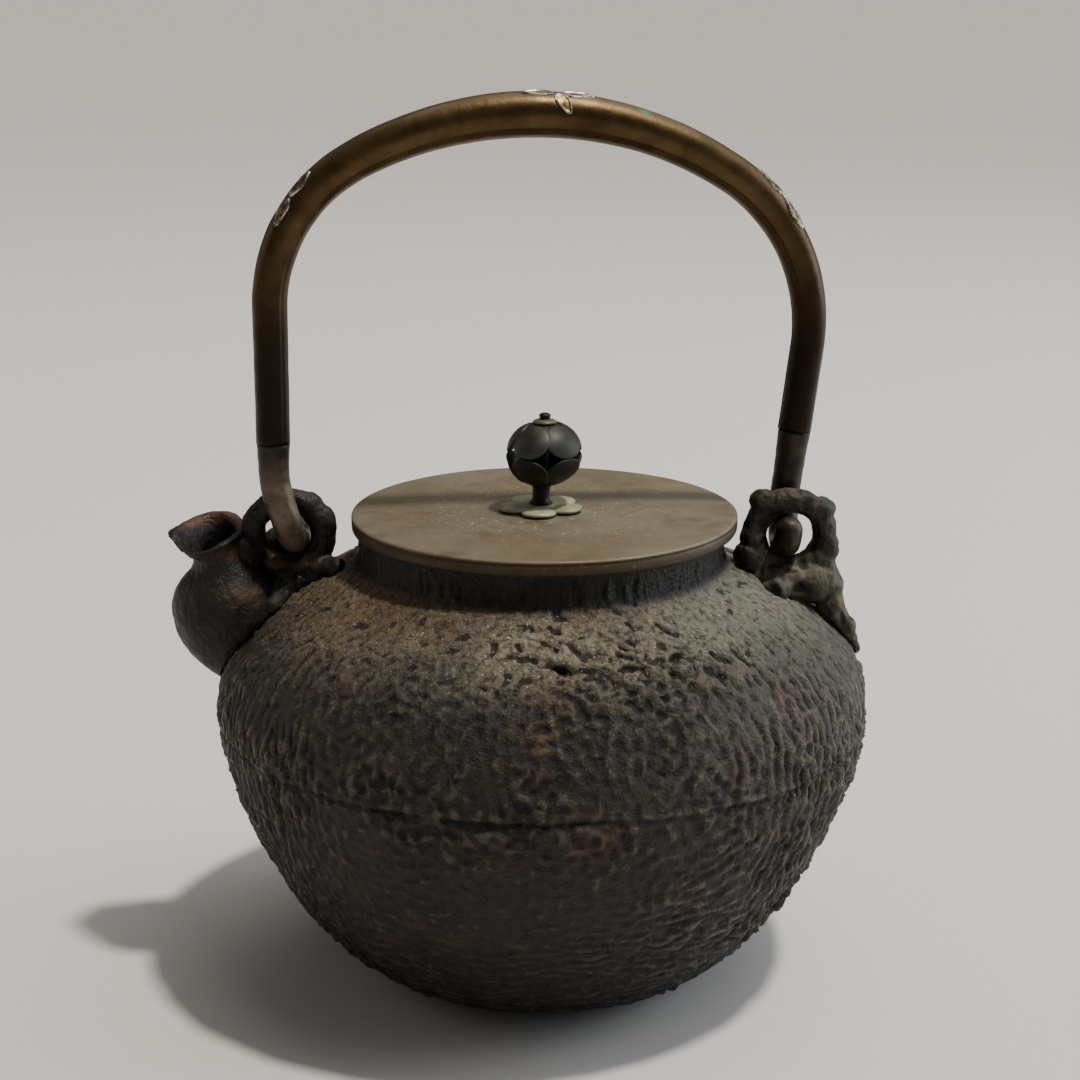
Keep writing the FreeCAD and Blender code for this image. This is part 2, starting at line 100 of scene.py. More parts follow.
# ---------------------------------------------------------------- meshes
def piece(name, vertices, faces, body, material, replaces=()):
    """A mesh piece of the object, from vertices in mm and arrays of faces; it rides on a CAD body."""
    mesh = bpy.data.meshes.new(name)
    faces = [np.asarray(f, np.int32) for f in faces if len(f)]
    sizes = np.concatenate([np.full(len(f), f.shape[1], np.int32) for f in faces])
    loops = np.concatenate([f.ravel() for f in faces])
    mesh.vertices.add(len(vertices))
    mesh.vertices.foreach_set("co", (np.asarray(vertices, np.float32) * MM).ravel())
    mesh.loops.add(len(loops))
    mesh.loops.foreach_set("vertex_index", loops)
    mesh.polygons.add(len(sizes))
    mesh.polygons.foreach_set("loop_start", np.cumsum(sizes) - sizes)
    mesh.polygons.foreach_set("loop_total", sizes)
    mesh.polygons.foreach_set("use_smooth", np.ones(len(sizes), bool))
    mesh.update(calc_edges=True)
    mesh.materials.append(material)
    obj = bpy.data.objects.new(name, mesh)
    bpy.context.scene.collection.objects.link(obj)
    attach(obj, body)
    if replaces:
        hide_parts(*replaces)
    return obj


def grid_faces(rows, columns):
    """Quads of a grid whose columns close round."""
    i = np.arange(rows - 1)[:, None] * columns
    j = np.arange(columns)[None, :]
    k = (j + 1) % columns
    quads = np.stack([i + j, i + k, i + columns + k, i + columns + j], axis=-1)
    return quads.reshape(-1, 4)


def fan(ring_start, columns, centre, flip):
    """Triangles from a ring of vertices to a centre vertex."""
    j = np.arange(columns)
    k = (j + 1) % columns
    a, b = (k, j) if flip else (j, k)
    return np.stack([ring_start + a, ring_start + b, np.full(columns, centre)], axis=-1)


def closed_faces(rows, columns):
    """Grid faces with a fan at each end; the two pole vertices come after the grid."""
    last = (rows - 1) * columns
    poles = rows * columns
    return [grid_faces(rows, columns), fan(0, columns, poles, True), fan(last, columns, poles + 1, False)]


def set_field(obj, name, values):
    attribute = obj.data.attributes.new(name, "FLOAT", "POINT")
    attribute.data.foreach_set("value", np.asarray(values, np.float32))


def remeshed(nodes, voxel, passes, lumps=()):
    """Vertices in mm, normals and faces of CAD nodes, joined, evenly remeshed and smoothed.

    Lumps are extra ellipsoids, as (centre, half axes), that melt into the nodes.
    """
    mesh = bpy.data.meshes.new("work")
    points, faces = [], []
    count = 0
    for name in nodes:
        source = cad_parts[name].data
        points.extend(v.co.copy() for v in source.vertices)
        faces.extend([count + i for i in p.vertices] for p in source.polygons)
        count += len(source.vertices)
    for centre, half_axes in lumps:
        angle = np.linspace(0, math.pi, 14)
        ball, quads = turned(np.column_stack([np.sin(angle), -np.cos(angle)]), 24)
        points.extend((ball * half_axes + centre) * MM)
        faces.extend([count + i for i in face] for group in quads for face in group.tolist())
        count += len(ball)
    mesh.from_pydata(points, [], faces)
    obj = bpy.data.objects.new("work", mesh)
    bpy.context.scene.collection.objects.link(obj)
    even = obj.modifiers.new("even", "REMESH")
    even.mode = "VOXEL"
    even.voxel_size = voxel * MM
    soft = obj.modifiers.new("soft", "SMOOTH")
    soft.factor = 0.5
    soft.iterations = passes
    graph = bpy.context.evaluated_depsgraph_get()
    result = bpy.data.meshes.new_from_object(obj.evaluated_get(graph), depsgraph=graph)
    vertices, normals = mesh_arrays(result)
    corners = np.array([len(p.vertices) for p in result.polygons])
    polygons = [np.array([p.vertices[:] for p in result.polygons if len(p.vertices) == n])
                for n in set(corners)]
    bpy.data.objects.remove(obj)
    return vertices, normals, polygons


def mesh_arrays(mesh):
    co = np.zeros(len(mesh.vertices) * 3)
    mesh.vertices.foreach_get("co", co)
    normals = np.zeros(len(mesh.vertices) * 3)
    mesh.vertex_normals.foreach_get("vector", normals)
    return co.reshape(-1, 3) / MM, normals.reshape(-1, 3)


def swell(vertices, normals, centre, radius, amount):
    """Moves vertices near a point outwards by amount, or inwards if it is negative."""
    distance = np.linalg.norm(vertices - np.asarray(centre, float), axis=1)
    return vertices + normals * (amount * np.exp(-(distance / radius) ** 2))[:, None]


def turned(profile, columns):
    """Vertices and faces of a closed solid of revolution from (radius, height) rows, pole to pole."""
    profile = np.asarray(profile, float)
    angle = np.linspace(0, 2 * math.pi, columns, endpoint=False)
    rings = profile[1:-1]
    x = rings[:, :1] * np.cos(angle)
    y = rings[:, :1] * np.sin(angle)
    z = np.repeat(rings[:, 1:], columns, axis=1)
    vertices = np.stack([x, y, z], axis=-1).reshape(-1, 3)
    poles = [[0, 0, profile[0, 1]], [0, 0, profile[-1, 1]]]
    return np.vstack([vertices, poles]), closed_faces(len(rings), columns)


def swept(centres, tangents, radii, columns, across):
    """Rings of a round bar along a path; returns vertices as (row, column, 3) and the ring frames."""
    centres, tangents = np.asarray(centres, float), np.asarray(tangents, float)
    tangents = tangents / np.linalg.norm(tangents, axis=1)[:, None]
    first = np.cross(np.cross(tangents, across), tangents)
    first = first / np.linalg.norm(first, axis=1)[:, None]
    second = np.cross(tangents, first)
    angle = np.linspace(0, 2 * math.pi, columns, endpoint=False)
    out = first[:, None, :] * np.cos(angle)[None, :, None] + second[:, None, :] * np.sin(angle)[None, :, None]
    radii = np.asarray(radii, float)
    radii = radii[:, None] if radii.ndim == 1 else radii
    return centres[:, None, :] + out * radii[:, :, None], out


# ---------------------------------------------------------------- materials
def srgb(r, g, b):
    """Linear colour from 0-255 screen values."""
    def one(c):
        c = c / 255
        return c / 12.92 if c <= 0.04045 else ((c + 0.055) / 1.055) ** 2.4
    return one(r), one(g), one(b), 1.0


class Finish:
    """A node material put together a node at a time."""

    def __init__(self, name, metallic=0.0, specular=0.5):
        self.material = bpy.data.materials.new(name)
        self.material.use_nodes = True
        self.tree = self.material.node_tree
        self.shader = self.tree.nodes["Principled BSDF"]
        self.shader.inputs["Metallic"].default_value = metallic
        self.shader.inputs["Specular IOR Level"].default_value = specular
        self.place = self.node("ShaderNodeTexCoord").outputs["Object"]

    def node(self, kind, inputs=None, **settings):
        made = self.tree.nodes.new(kind)
        for key, value in settings.items():
            setattr(made, key, value)
        for key, value in (inputs or {}).items():
            self.feed(made.inputs[key], value)
        return made

    def feed(self, socket, value):
        if isinstance(value, bpy.types.NodeSocket):
            self.tree.links.new(value, socket)
        else:
            socket.default_value = value

    def noise(self, size, detail=3.0, roughness=0.55):
        """Noise from 0 to 1 whose features are about size mm across."""
        return self.node("ShaderNodeTexNoise", {"Vector": self.place, "Scale": 0.6 / (size * MM),
                                                "Detail": detail, "Roughness": roughness}).outputs["Fac"]

    def range(self, value, low, high, to_low=0.0, to_high=1.0):
        """Value from low to high turned into to_low to to_high, smoothly and held at the ends."""
        return self.node("ShaderNodeMapRange", {"Value": value, "From Min": low, "From Max": high,
                                                "To Min": to_low, "To Max": to_high},
                         interpolation_type="SMOOTHSTEP").outputs["Result"]

    def math(self, operation, a, b=0.0):
        return self.node("ShaderNodeMath", {0: a, 1: b}, operation=operation).outputs[0]

    def times(self, a, b):
        return self.math("MULTIPLY", a, b)

    def mix(self, share, a, b):
        made = self.node("ShaderNodeMix", data_type="RGBA")
        self.feed(made.inputs[0], share)
        self.feed(made.inputs[6], a)
        self.feed(made.inputs[7], b)
        return made.outputs[2]

    def field(self, name):
        return self.node("ShaderNodeAttribute", attribute_name=name).outputs["Fac"]

    def height_of(self, low, high):
        """0 to 1 as the surface rises from low to high mm."""
        z = self.node("ShaderNodeSeparateXYZ", {0: self.place}).outputs["Z"]
        return self.range(z, low * MM, high * MM)

    def finish(self, colour, roughness, *bumps):
        """Sets colour and roughness; bumps are (height, distance in mm, strength)."""
        self.feed(self.shader.inputs["Base Color"], colour)
        self.feed(self.shader.inputs["Roughness"], roughness)
        normal = None
        for height, distance, strength in bumps:
            made = self.node("ShaderNodeBump", {"Height": height, "Distance": distance * MM,
                                                "Strength": strength})
            if normal:
                self.feed(made.inputs["Normal"], normal)
            normal = made.outputs["Normal"]
        if normal:
            self.feed(self.shader.inputs["Normal"], normal)
        return self.material


def iron_finish():
    """Old cast iron: near black, dusty on the shoulder, rusty in patches, paler on rubbed ridges, which also
    carry a painted highlight; painted shade darkens the hollows, the lower body and the collar, and a painted
    sheen lightens the right side.
    """
    f = Finish("cast_iron", metallic=0.0, specular=0.42)
    dust, relief, rust = f.field("dust"), f.field("relief"), f.field("rust")
    painted_shade, painted_right_sheen = f.field("painted_shade"), f.field("painted_right_sheen")
    mottle = f.noise(4.5, 4, 0.65)
    speck = f.noise(1.1, 3, 0.7)
    colour = f.mix(f.range(f.noise(22, 3), 0.38, 0.62), srgb(20, 15, 8), srgb(27, 22, 13))
    colour = f.mix(f.range(mottle, 0.42, 0.68), colour, srgb(24, 22, 16))
    colour = f.mix(f.times(f.range(f.noise(7, 3, 0.6), 0.55, 0.72), 0.6), colour, srgb(36, 20, 9))
    # painted sheen: the right side of the body turned a paler grey where the window light falls
    colour = f.mix(f.times(painted_right_sheen, 0.85), colour, srgb(80, 79, 70))
    reddish = f.times(rust, f.range(mottle, 0.35, 0.6))
    colour = f.mix(reddish, colour, srgb(84, 50, 30))
    sand = f.mix(f.range(f.noise(15, 3), 0.4, 0.6), srgb(128, 110, 82), srgb(138, 128, 108))
    # the dust turns paler grey as well under the painted sheen on the right
    sand = f.mix(painted_right_sheen, sand, srgb(144, 141, 124))
    patchy = f.math("ADD", f.times(f.range(speck, 0.36, 0.6), 0.6), 0.4)
    laid = f.times(dust, patchy)
    colour = f.mix(laid, colour, sand)
    # paler tan on raised ridges: rubbed iron, with a painted highlight along the ridge tops
    worn_and_highlit = f.times(f.range(relief, 0.2, 1.0), f.range(mottle, 0.3, 0.6))
    colour = f.mix(f.times(worn_and_highlit, 0.32), colour, srgb(112, 100, 72))
    # painted shade: darker low on the body, on the collar under the lid and inside the rim
    colour = f.mix(f.times(painted_shade, 0.75), colour, srgb(19, 19, 15))
    # painted shade: the deepest parts of the relief darkened almost to black, standing in for the shade of
    # the undercuts
    hollow = f.range(relief, -0.1, -0.9)
    colour = f.mix(f.times(hollow, 0.88), colour, srgb(10, 7, 4))
    colour = f.mix(f.range(speck, 0.48, 0.25, 0.0, 0.6), colour, srgb(10, 8, 5))
    flecks = f.times(f.range(f.noise(0.42, 1, 0.4), 0.68, 0.74), dust)
    colour = f.mix(f.times(flecks, 0.8), colour, srgb(206, 196, 170))
    gloss = f.times(worn_and_highlit, f.math("SUBTRACT", 1.0, f.times(laid, 0.5)))
    roughness = f.range(gloss, 0.0, 0.8, 0.56, 0.28)
    roughness = f.math("ADD", roughness, f.times(laid, 0.15))
    return f.finish(colour, roughness, (f.noise(1.5, 4, 0.7), 1.6, 0.9), (f.noise(0.55, 3, 0.7), 0.9, 0.9))


def dark_iron_finish(name, warm):
    """The smoother, blacker iron of the spout and the lugs; warm is how brown it is."""
    f = Finish(name, metallic=0.0, specular=0.34)
    mottle = f.noise(5, 4, 0.65)
    colour = f.mix(f.range(mottle, 0.35, 0.7), srgb(9, 9, 6), srgb(20, 20, 15))
    brown = f.times(f.range(f.noise(9, 3), 0.45, 0.7), warm)
    colour = f.mix(brown, colour, srgb(38, 23, 13))
    colour = f.mix(f.times(f.field("rust"), f.range(mottle, 0.25, 0.55)), colour, srgb(96, 66, 46))
    sand = f.mix(f.range(f.noise(3, 4, 0.7), 0.4, 0.6), srgb(94, 89, 66), srgb(116, 112, 92))
    colour = f.mix(f.field("dust"), colour, sand)
    # painted shade from the field: in the lugs' hollows and cracks, none on the spout
    colour = f.mix(f.times(f.field("painted_shade"), 0.92), colour, srgb(13, 9, 7))
    roughness = f.range(mottle, 0.3, 0.7, 0.46, 0.62)
    roughness = f.math("ADD", roughness, f.times(f.field("dust"), 0.25))
    return f.finish(colour, roughness, (f.noise(1.7, 4, 0.65), 0.9, 0.7), (f.noise(0.6, 2), 0.35, 0.6))


def lid_finish():
    """Bronze with a dull olive-brown skin, fine pale specks and a trace of green at the middle."""
    f = Finish("lid_bronze", metallic=0.35, specular=0.5)
    cloud = f.noise(30, 4, 0.6)
    colour = f.mix(f.range(cloud, 0.35, 0.68), srgb(112, 99, 76), srgb(126, 117, 98))
    colour = f.mix(f.range(f.noise(7, 4, 0.65), 0.5, 0.75), colour, srgb(104, 88, 64))
    edge = f.height_of(123.2, 122.6)
    colour = f.mix(f.times(edge, 0.9), colour, srgb(52, 39, 17))
    x, y = (f.node("ShaderNodeSeparateXYZ", {0: f.place}).outputs[i] for i in (0, 1))
    radius = f.math("SQRT", f.math("ADD", f.times(x, x), f.times(y, y)))
    near = f.range(radius, 20 * MM, 9 * MM)
    green = f.times(near, f.range(f.noise(3, 4, 0.7), 0.5, 0.62))
    colour = f.mix(f.times(green, 0.6), colour, srgb(132, 140, 116))
    flecks = f.range(f.noise(0.6, 1.5, 0.5), 0.64, 0.72)
    amount = f.range(radius, 44 * MM, 14 * MM, 0.12, 0.65)
    colour = f.mix(f.times(flecks, amount), colour, srgb(196, 186, 156))
    roughness = f.range(f.noise(4, 4, 0.6), 0.3, 0.7, 0.5, 0.68)
    return f.finish(colour, roughness, (f.noise(0.5, 3, 0.6), 0.06, 0.5))


def bronze_finish(name, dark, light, metallic=0.55, rough=(0.34, 0.52), green=0.0):
    """Patinated bronze between two tones, with optional verdigris."""
    f = Finish(name, metallic=metallic, specular=0.5)
    cloud = f.noise(14, 4, 0.6)
    colour = f.mix(f.range(cloud, 0.35, 0.68), dark, light)
    fine = f.range(f.noise(2.2, 4, 0.65), 0.42, 0.72)
    colour = f.mix(f.times(fine, 0.35), colour, tuple(c * 0.45 for c in dark[:3]) + (1.0,))
    if green:
        patch = f.times(f.range(f.noise(2.6, 4, 0.7), 0.48, 0.62), green)
        colour = f.mix(patch, colour, srgb(124, 138, 110))
    roughness = f.range(f.noise(5, 4, 0.6), 0.3, 0.7, *rough)
    return f.finish(colour, roughness, (f.noise(1.4, 4, 0.6), 0.10, 0.5), (f.noise(0.4, 2), 0.04, 0.4))


def handle_finish():
    """Brown bronze tube with a golden painted highlight on top and one verdigris spot."""
    f = Finish("handle_bronze", metallic=0.85, specular=0.5)
    cloud = f.noise(22, 4, 0.6)
    colour = f.mix(f.range(cloud, 0.35, 0.68), srgb(66, 49, 26), srgb(88, 70, 43))
    streak = f.range(f.noise(3.5, 4, 0.65), 0.4, 0.7)
    colour = f.mix(f.times(streak, 0.5), colour, srgb(42, 29, 13))
    # painted highlight: golden on the upward-facing top of the tube
    colour = f.mix(f.times(f.field("wear_and_highlight"), 0.55), colour, srgb(138, 116, 84))
    colour = f.mix(f.times(f.height_of(205, 165), 0.9), colour, srgb(26, 17, 8))
    colour = f.mix(f.field("verdigris"), colour, srgb(74, 138, 104))
    roughness = f.range(f.noise(4, 4, 0.6), 0.3, 0.7, 0.34, 0.46)
    return f.finish(colour, roughness, (f.noise(1.8, 4, 0.6), 0.16, 0.6), (f.noise(0.5, 2), 0.06, 0.5))


def hook_finish():
    """Bronze hooks: dark where the tube holds them, rubbed grey-tan and reddish lower down."""
    f = Finish("hook_bronze", metallic=0.55, specular=0.5)
    mottle = f.noise(3.0, 4, 0.65)
    dark = f.mix(f.range(mottle, 0.35, 0.65), srgb(24, 16, 8), srgb(34, 24, 12))
    rubbed = f.mix(f.range(mottle, 0.35, 0.65), srgb(104, 92, 74), srgb(138, 128, 108))
    colour = f.mix(f.field("wear_and_highlight"), dark, rubbed)
    colour = f.mix(f.times(f.field("rust"), 0.5), colour, srgb(74, 46, 30))
    flecks = f.times(f.range(f.noise(0.8, 2, 0.6), 0.58, 0.70), f.field("wear_and_highlight"))
    colour = f.mix(f.times(flecks, 0.6), colour, srgb(52, 40, 28))
    roughness = f.range(mottle, 0.3, 0.7, 0.36, 0.55)
    return f.finish(colour, roughness, (f.noise(1.4, 4, 0.6), 0.22, 0.6), (f.noise(0.4, 2), 0.08, 0.5))


def inlay_finish():
    """Tarnished silver rims round gilt leaves."""
    f = Finish("silver_inlay", metallic=0.9, specular=0.5)
    silver = f.mix(f.range(f.noise(1.6, 4, 0.7), 0.42, 0.6), srgb(96, 92, 88), srgb(196, 192, 184))
    gilt = f.mix(f.range(f.noise(1.2, 3, 0.7), 0.4, 0.62), srgb(78, 60, 30), srgb(150, 124, 78))
    colour = f.mix(f.field("rim"), gilt, silver)
    return f.finish(colour, f.range(f.noise(1.5, 3), 0.3, 0.7, 0.30, 0.48), (f.noise(0.7, 3, 0.6), 0.10, 0.6))


# ---------------------------------------------------------------- kettle body
RING_PITCH = 0.5              # mm between the body's rings
COLUMNS = 1080
PROFILE_CENTRE = 60.0         # height from which the outline is seen all round


def cad_outline():
    """Outer and inner outlines of the CAD body behind the lugs' plane, from the base to the rim."""
    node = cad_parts["kettle_body"].data
    tree = BVHTree.FromPolygons([v.co for v in node.vertices], [p.vertices for p in node.polygons])
    centre = Vector((0, 0, PROFILE_CENTRE * MM))
    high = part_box("kettle_body")[1].z / MM
    outer, inner = [], []
    for angle in np.radians(np.linspace(-89.7, 58.0, 420)):
        out = Vector((0, math.cos(angle), math.sin(angle)))
        far = tree.ray_cast(centre + out * 0.3, -out)[0]
        near = tree.ray_cast(centre, out)[0]
        if far is not None and far.z / MM < high - 0.3 and (angle < 0 or far.y > 0.03):
            outer.append((far.y / MM, far.z / MM))
        if near is not None and near.z / MM < high - 0.3:
            inner.append((near.y / MM, near.z / MM))
    return np.array(outer), np.array(inner), high


def evenly(points, pitch):
    """Points of a polyline at an even pitch."""
    steps = np.hypot(*np.diff(points, axis=0).T)
    along = np.concatenate([[0], np.cumsum(steps)])
    at = np.linspace(0, along[-1], max(3, int(round(along[-1] / pitch)) + 1))
    return np.stack([np.interp(at, along, points[:, i]) for i in (0, 1)], axis=1)


class Skin:
    """The outer surface of the body as a (ring, column) grid, with the fields laid over it."""

    def __init__(self, outline):
        self.radius, self.height = outline[:, 0], outline[:, 1]
        self.azimuth = np.linspace(-180, 180, COLUMNS, endpoint=False)
        angle = np.radians(self.azimuth)
        self.points = np.stack([self.radius[:, None] * np.cos(angle), self.radius[:, None] * np.sin(angle),
                                np.repeat(self.height[:, None], COLUMNS, axis=1)], axis=-1)
        slope = np.gradient(outline, axis=0)
        slope = slope / np.linalg.norm(slope, axis=1)[:, None]
        self.normals = np.stack([slope[:, 1:2] * np.cos(angle), slope[:, 1:2] * np.sin(angle),
                                 np.repeat(-slope[:, :1], COLUMNS, axis=1)], axis=-1)
        self.z = np.repeat(self.height[:, None], COLUMNS, axis=1)
        self.front = np.repeat(self.azimuth[None, :] - FRONT, len(outline), axis=0)
        self.front = (self.front + 180) % 360 - 180
        self.waves = np.arange(COLUMNS // 2 + 1)[None, :] / np.maximum(self.radius[:, None], 2.0)
        self.along = np.arange(len(outline)) * RING_PITCH
        self.wander = np.stack([self.noise(5, 2, 41 + i) for i in range(3)], axis=-1)

    def noise(self, size, octaves, seed, warp=0.0):
        places = self.points + warp * self.wander if warp else self.points
        return fractal(places.reshape(-1, 3), size, octaves, seed).reshape(self.z.shape)

    def blurred(self, field, across, along):
        """Gaussian blur by so many mm round the body and up it."""
        spectrum = np.fft.rfft(field, axis=1) * np.exp(-0.5 * (self.waves * across) ** 2)
        field = np.fft.irfft(spectrum, COLUMNS, axis=1)
        gap = self.along[:, None] - self.along[None, :]
        weights = np.exp(-0.5 * (gap / along) ** 2)
        return (weights / weights.sum(1, keepdims=True)) @ field

    def spot(self, azimuth, height, degrees, mm):
        """A soft round mask about a place."""
        off = (self.front - (azimuth - FRONT) + 180) % 360 - 180
        return np.exp(-(off / degrees) ** 2 - ((self.z - height) / mm) ** 2)

    def point(self, azimuth, height):
        r = np.interp(height, np.maximum.accumulate(self.height), self.radius)
        return np.array([r * math.cos(math.radians(azimuth)), r * math.sin(math.radians(azimuth)), height])

    def stroke(self, rise, drop, width, line):
        """A ridge, groove or ledge along a line of (azimuth, height) corners.

        The surface goes up by rise above the line and down by drop below it.
        """
        line = np.array(line, float)
        margin = 3 * width + 2
        reach = np.ptp(line[:, 0]) / 2 + math.degrees(margin / 55)
        columns = np.abs(self.azimuth - line[:, 0].mean()) < reach
        rows = (self.height > line[:, 1].min() - margin) & (self.height < line[:, 1].max() + margin)
        window = np.ix_(rows, columns)
        places = (self.points + 0.9 * self.wander)[window]
        best = np.full(places.shape[:2], 1e9)
        above = np.zeros(places.shape[:2])
        corners = [self.point(*corner) for corner in line]
        for a, b in zip(corners, corners[1:]):
            run = b - a
            t = np.clip(((places - a) @ run) / (run @ run), 0, 1)
            gap = places - a - t[..., None] * run
            length = np.linalg.norm(gap, axis=-1)
            above = np.where(length < best, gap[..., 2], above)
            best = np.minimum(best, length)
        side = 0.5 + 0.5 * np.tanh(above / 0.35)
        field = np.zeros_like(self.z)
        field[window] = (rise * side - drop * (1 - side)) * np.exp(-(best / width) ** 2)
        return field


def worm_relief(skin, upright, level):
    """Short winding worm-like ridges; upright and level say where they lean which way."""
    rng = np.random.default_rng(7)
    free = np.clip(1 - upright - level, 0.1, 1)
    field = skin.blurred(rng.standard_normal(skin.z.shape), 0.55, 0.55)
    for _ in range(3):
        bands = []
        for across, along, weight in ((0.50, 0.85, upright), (0.95, 0.55, level), (0.62, 0.62, free)):
            wide = 1.7 if across <= along else 1.0
            tall = 1.7 if along <= across else 1.0
            band = skin.blurred(field, across, along) - skin.blurred(field, across * wide, along * tall)
            bands.append(weight * band / band.std())
        field = sum(bands)
        field = np.tanh(1.1 * field / field.std())
    crawl = np.zeros_like(field)
    for size, weight, seed in (((3.4, 3.4, 7.5), upright, 111), ((7.0, 7.0, 3.8), level, 121),
                               (5.2, free, 131)):
        for extra in (0, 1):
            line = np.exp(-(skin.noise(size, 1, seed + extra, warp=2.0) / 0.20) ** 2)
            kept = smoothstep(skin.noise(6, 1, seed + 5 + extra), -0.15, 0.2)
            crawl = np.maximum(crawl, weight * line * kept)
    swell_and_dip = skin.noise(4.2, 2, 141, warp=1.0)
    return 0.50 * field + 1.25 * crawl + 0.45 * swell_and_dip - 0.3


# Rocks worked on the front shoulder, family by family. Spans are of azimuth in degrees and of
# height in mm; each stroke runs so many degrees and falls so many mm on the way.
ROCKS = [
    {"count": 7, "around": (-98, -60), "up": (100, 104), "run": 6, "fall": 0.5,
     "rise": 0.7, "drop": 1.9, "width": 1.5},                           # level broken ledges
    {"count": 9, "around": (-88, -50), "up": (98, 104), "run": 5, "fall": 5,
     "rise": 1.2, "drop": -1.2, "width": 0.9},                          # ridges slanting down
    {"count": 14, "around": (-96, -46), "up": (98, 109), "run": 3, "fall": 1.5,
     "rise": -1.2, "drop": 1.2, "width": 0.8},                          # short hollows
    {"count": 7, "around": (-92, -60), "up": (92, 98), "run": 2.5, "fall": 7,
     "rise": 0.8, "drop": -0.8, "width": 0.8},                          # ribs below the ledges
    {"count": 8, "around": (-120, -98), "up": (90, 104), "run": 3.5, "fall": -1,
     "rise": 0.6, "drop": -0.6, "width": 0.8},                          # faint folds at the left
]


def rock_relief(skin):
    """The rocks' strokes, spread over each family's span with some scatter."""
    rng = np.random.default_rng(12)
    total = np.zeros_like(skin.z)
    for family in ROCKS:
        first, last = family["around"]
        for i in range(family["count"]):
            azimuth = first + (last - first) * (i + 0.5) / family["count"] + rng.uniform(-1.5, 1.5)
            height = rng.uniform(*family["up"])
            run, fall = family["run"] * rng.uniform(0.7, 1.3), family["fall"] * rng.uniform(0.6, 1.2)
            sway = rng.uniform(-0.6, 0.6)
            middle = (azimuth + run / 2, height - fall / 2 + sway)
            line = [(azimuth, height), middle, (azimuth + run, height - fall)]
            total += skin.stroke(family["rise"], family["drop"], family["width"], line)
    return total


def landscape_relief(skin):
    """The worked rocks, the broken ground among them, and quieter ground of the same kind behind."""
    strokes = rock_relief(skin)
    broken = (1 - 2.6 * np.abs(skin.noise((4.2, 4.2, 2.8), 3, 51, warp=1.2)))
    chips = skin.noise((2.0, 2.0, 1.5), 3, 53, warp=0.8)
    place = skin.spot(-75, 100, 21, 7.0) + 0.5 * skin.spot(-66, 92, 15, 7) + 0.3 * skin.spot(-47, 101, 10, 6)
    behind = 0.9 * skin.spot(80, 100, 26, 7.0) + 0.6 * skin.spot(118, 97, 18, 6)
    run, rise = math.cos(math.radians(-58)), math.sin(math.radians(-58))
    around = np.radians(skin.front) * skin.radius[:, None]
    climb = np.repeat(skin.along[:, None], COLUMNS, axis=1)
    combed = np.stack([(around * run + climb * rise) / 6.5, (climb * run - around * rise) / 1.15,
                       np.zeros_like(skin.z)], axis=-1)
    brushed = fractal(combed.reshape(-1, 3), 1.0, 3, 57).reshape(skin.z.shape)
    cliff = skin.spot(-50, 93, 10, 9) + 0.5 * skin.spot(-60, 90, 10, 8)
    ground = np.clip(place + behind, 0, 1) * (0.42 * broken + 0.42 * chips)
    ground = ground + behind * 0.8 * np.sign(broken - 0.3) * smoothstep(chips, -0.5, 0.6)
    return strokes * (0.85 + 0.3 * chips) + ground + 0.34 * np.clip(cliff, 0, 1) * brushed


def seam_relief(skin):
    """The mould's parting line: a dark step on the left and a thin raised flash on the right."""
    turn = skin.front + FRONT
    middle = 71.3 + 0.3 * skin.noise(30, 2, 61) + 0.5 * bump(turn, -81, 5) - 0.8 * smoothstep(turn, -70, -40)
    off = skin.z - middle
    right = smoothstep(turn, -82, -72)
    there = 0.55 + 0.45 * smoothstep(skin.noise(9, 2, 62), -0.3, 0.3)
    step = 0.28 * (1 - right) * smoothstep(off, -0.2, 0.4) * np.exp(-np.maximum(off, 0) / 4)
    groove = -0.42 * (1 - right) * bump(off, -0.45, 0.5)
    flash = 0.55 * right * bump(off, 0.0, 0.5) - 0.25 * right * bump(off, -1.2, 0.8)
    return (step + groove + flash) * there


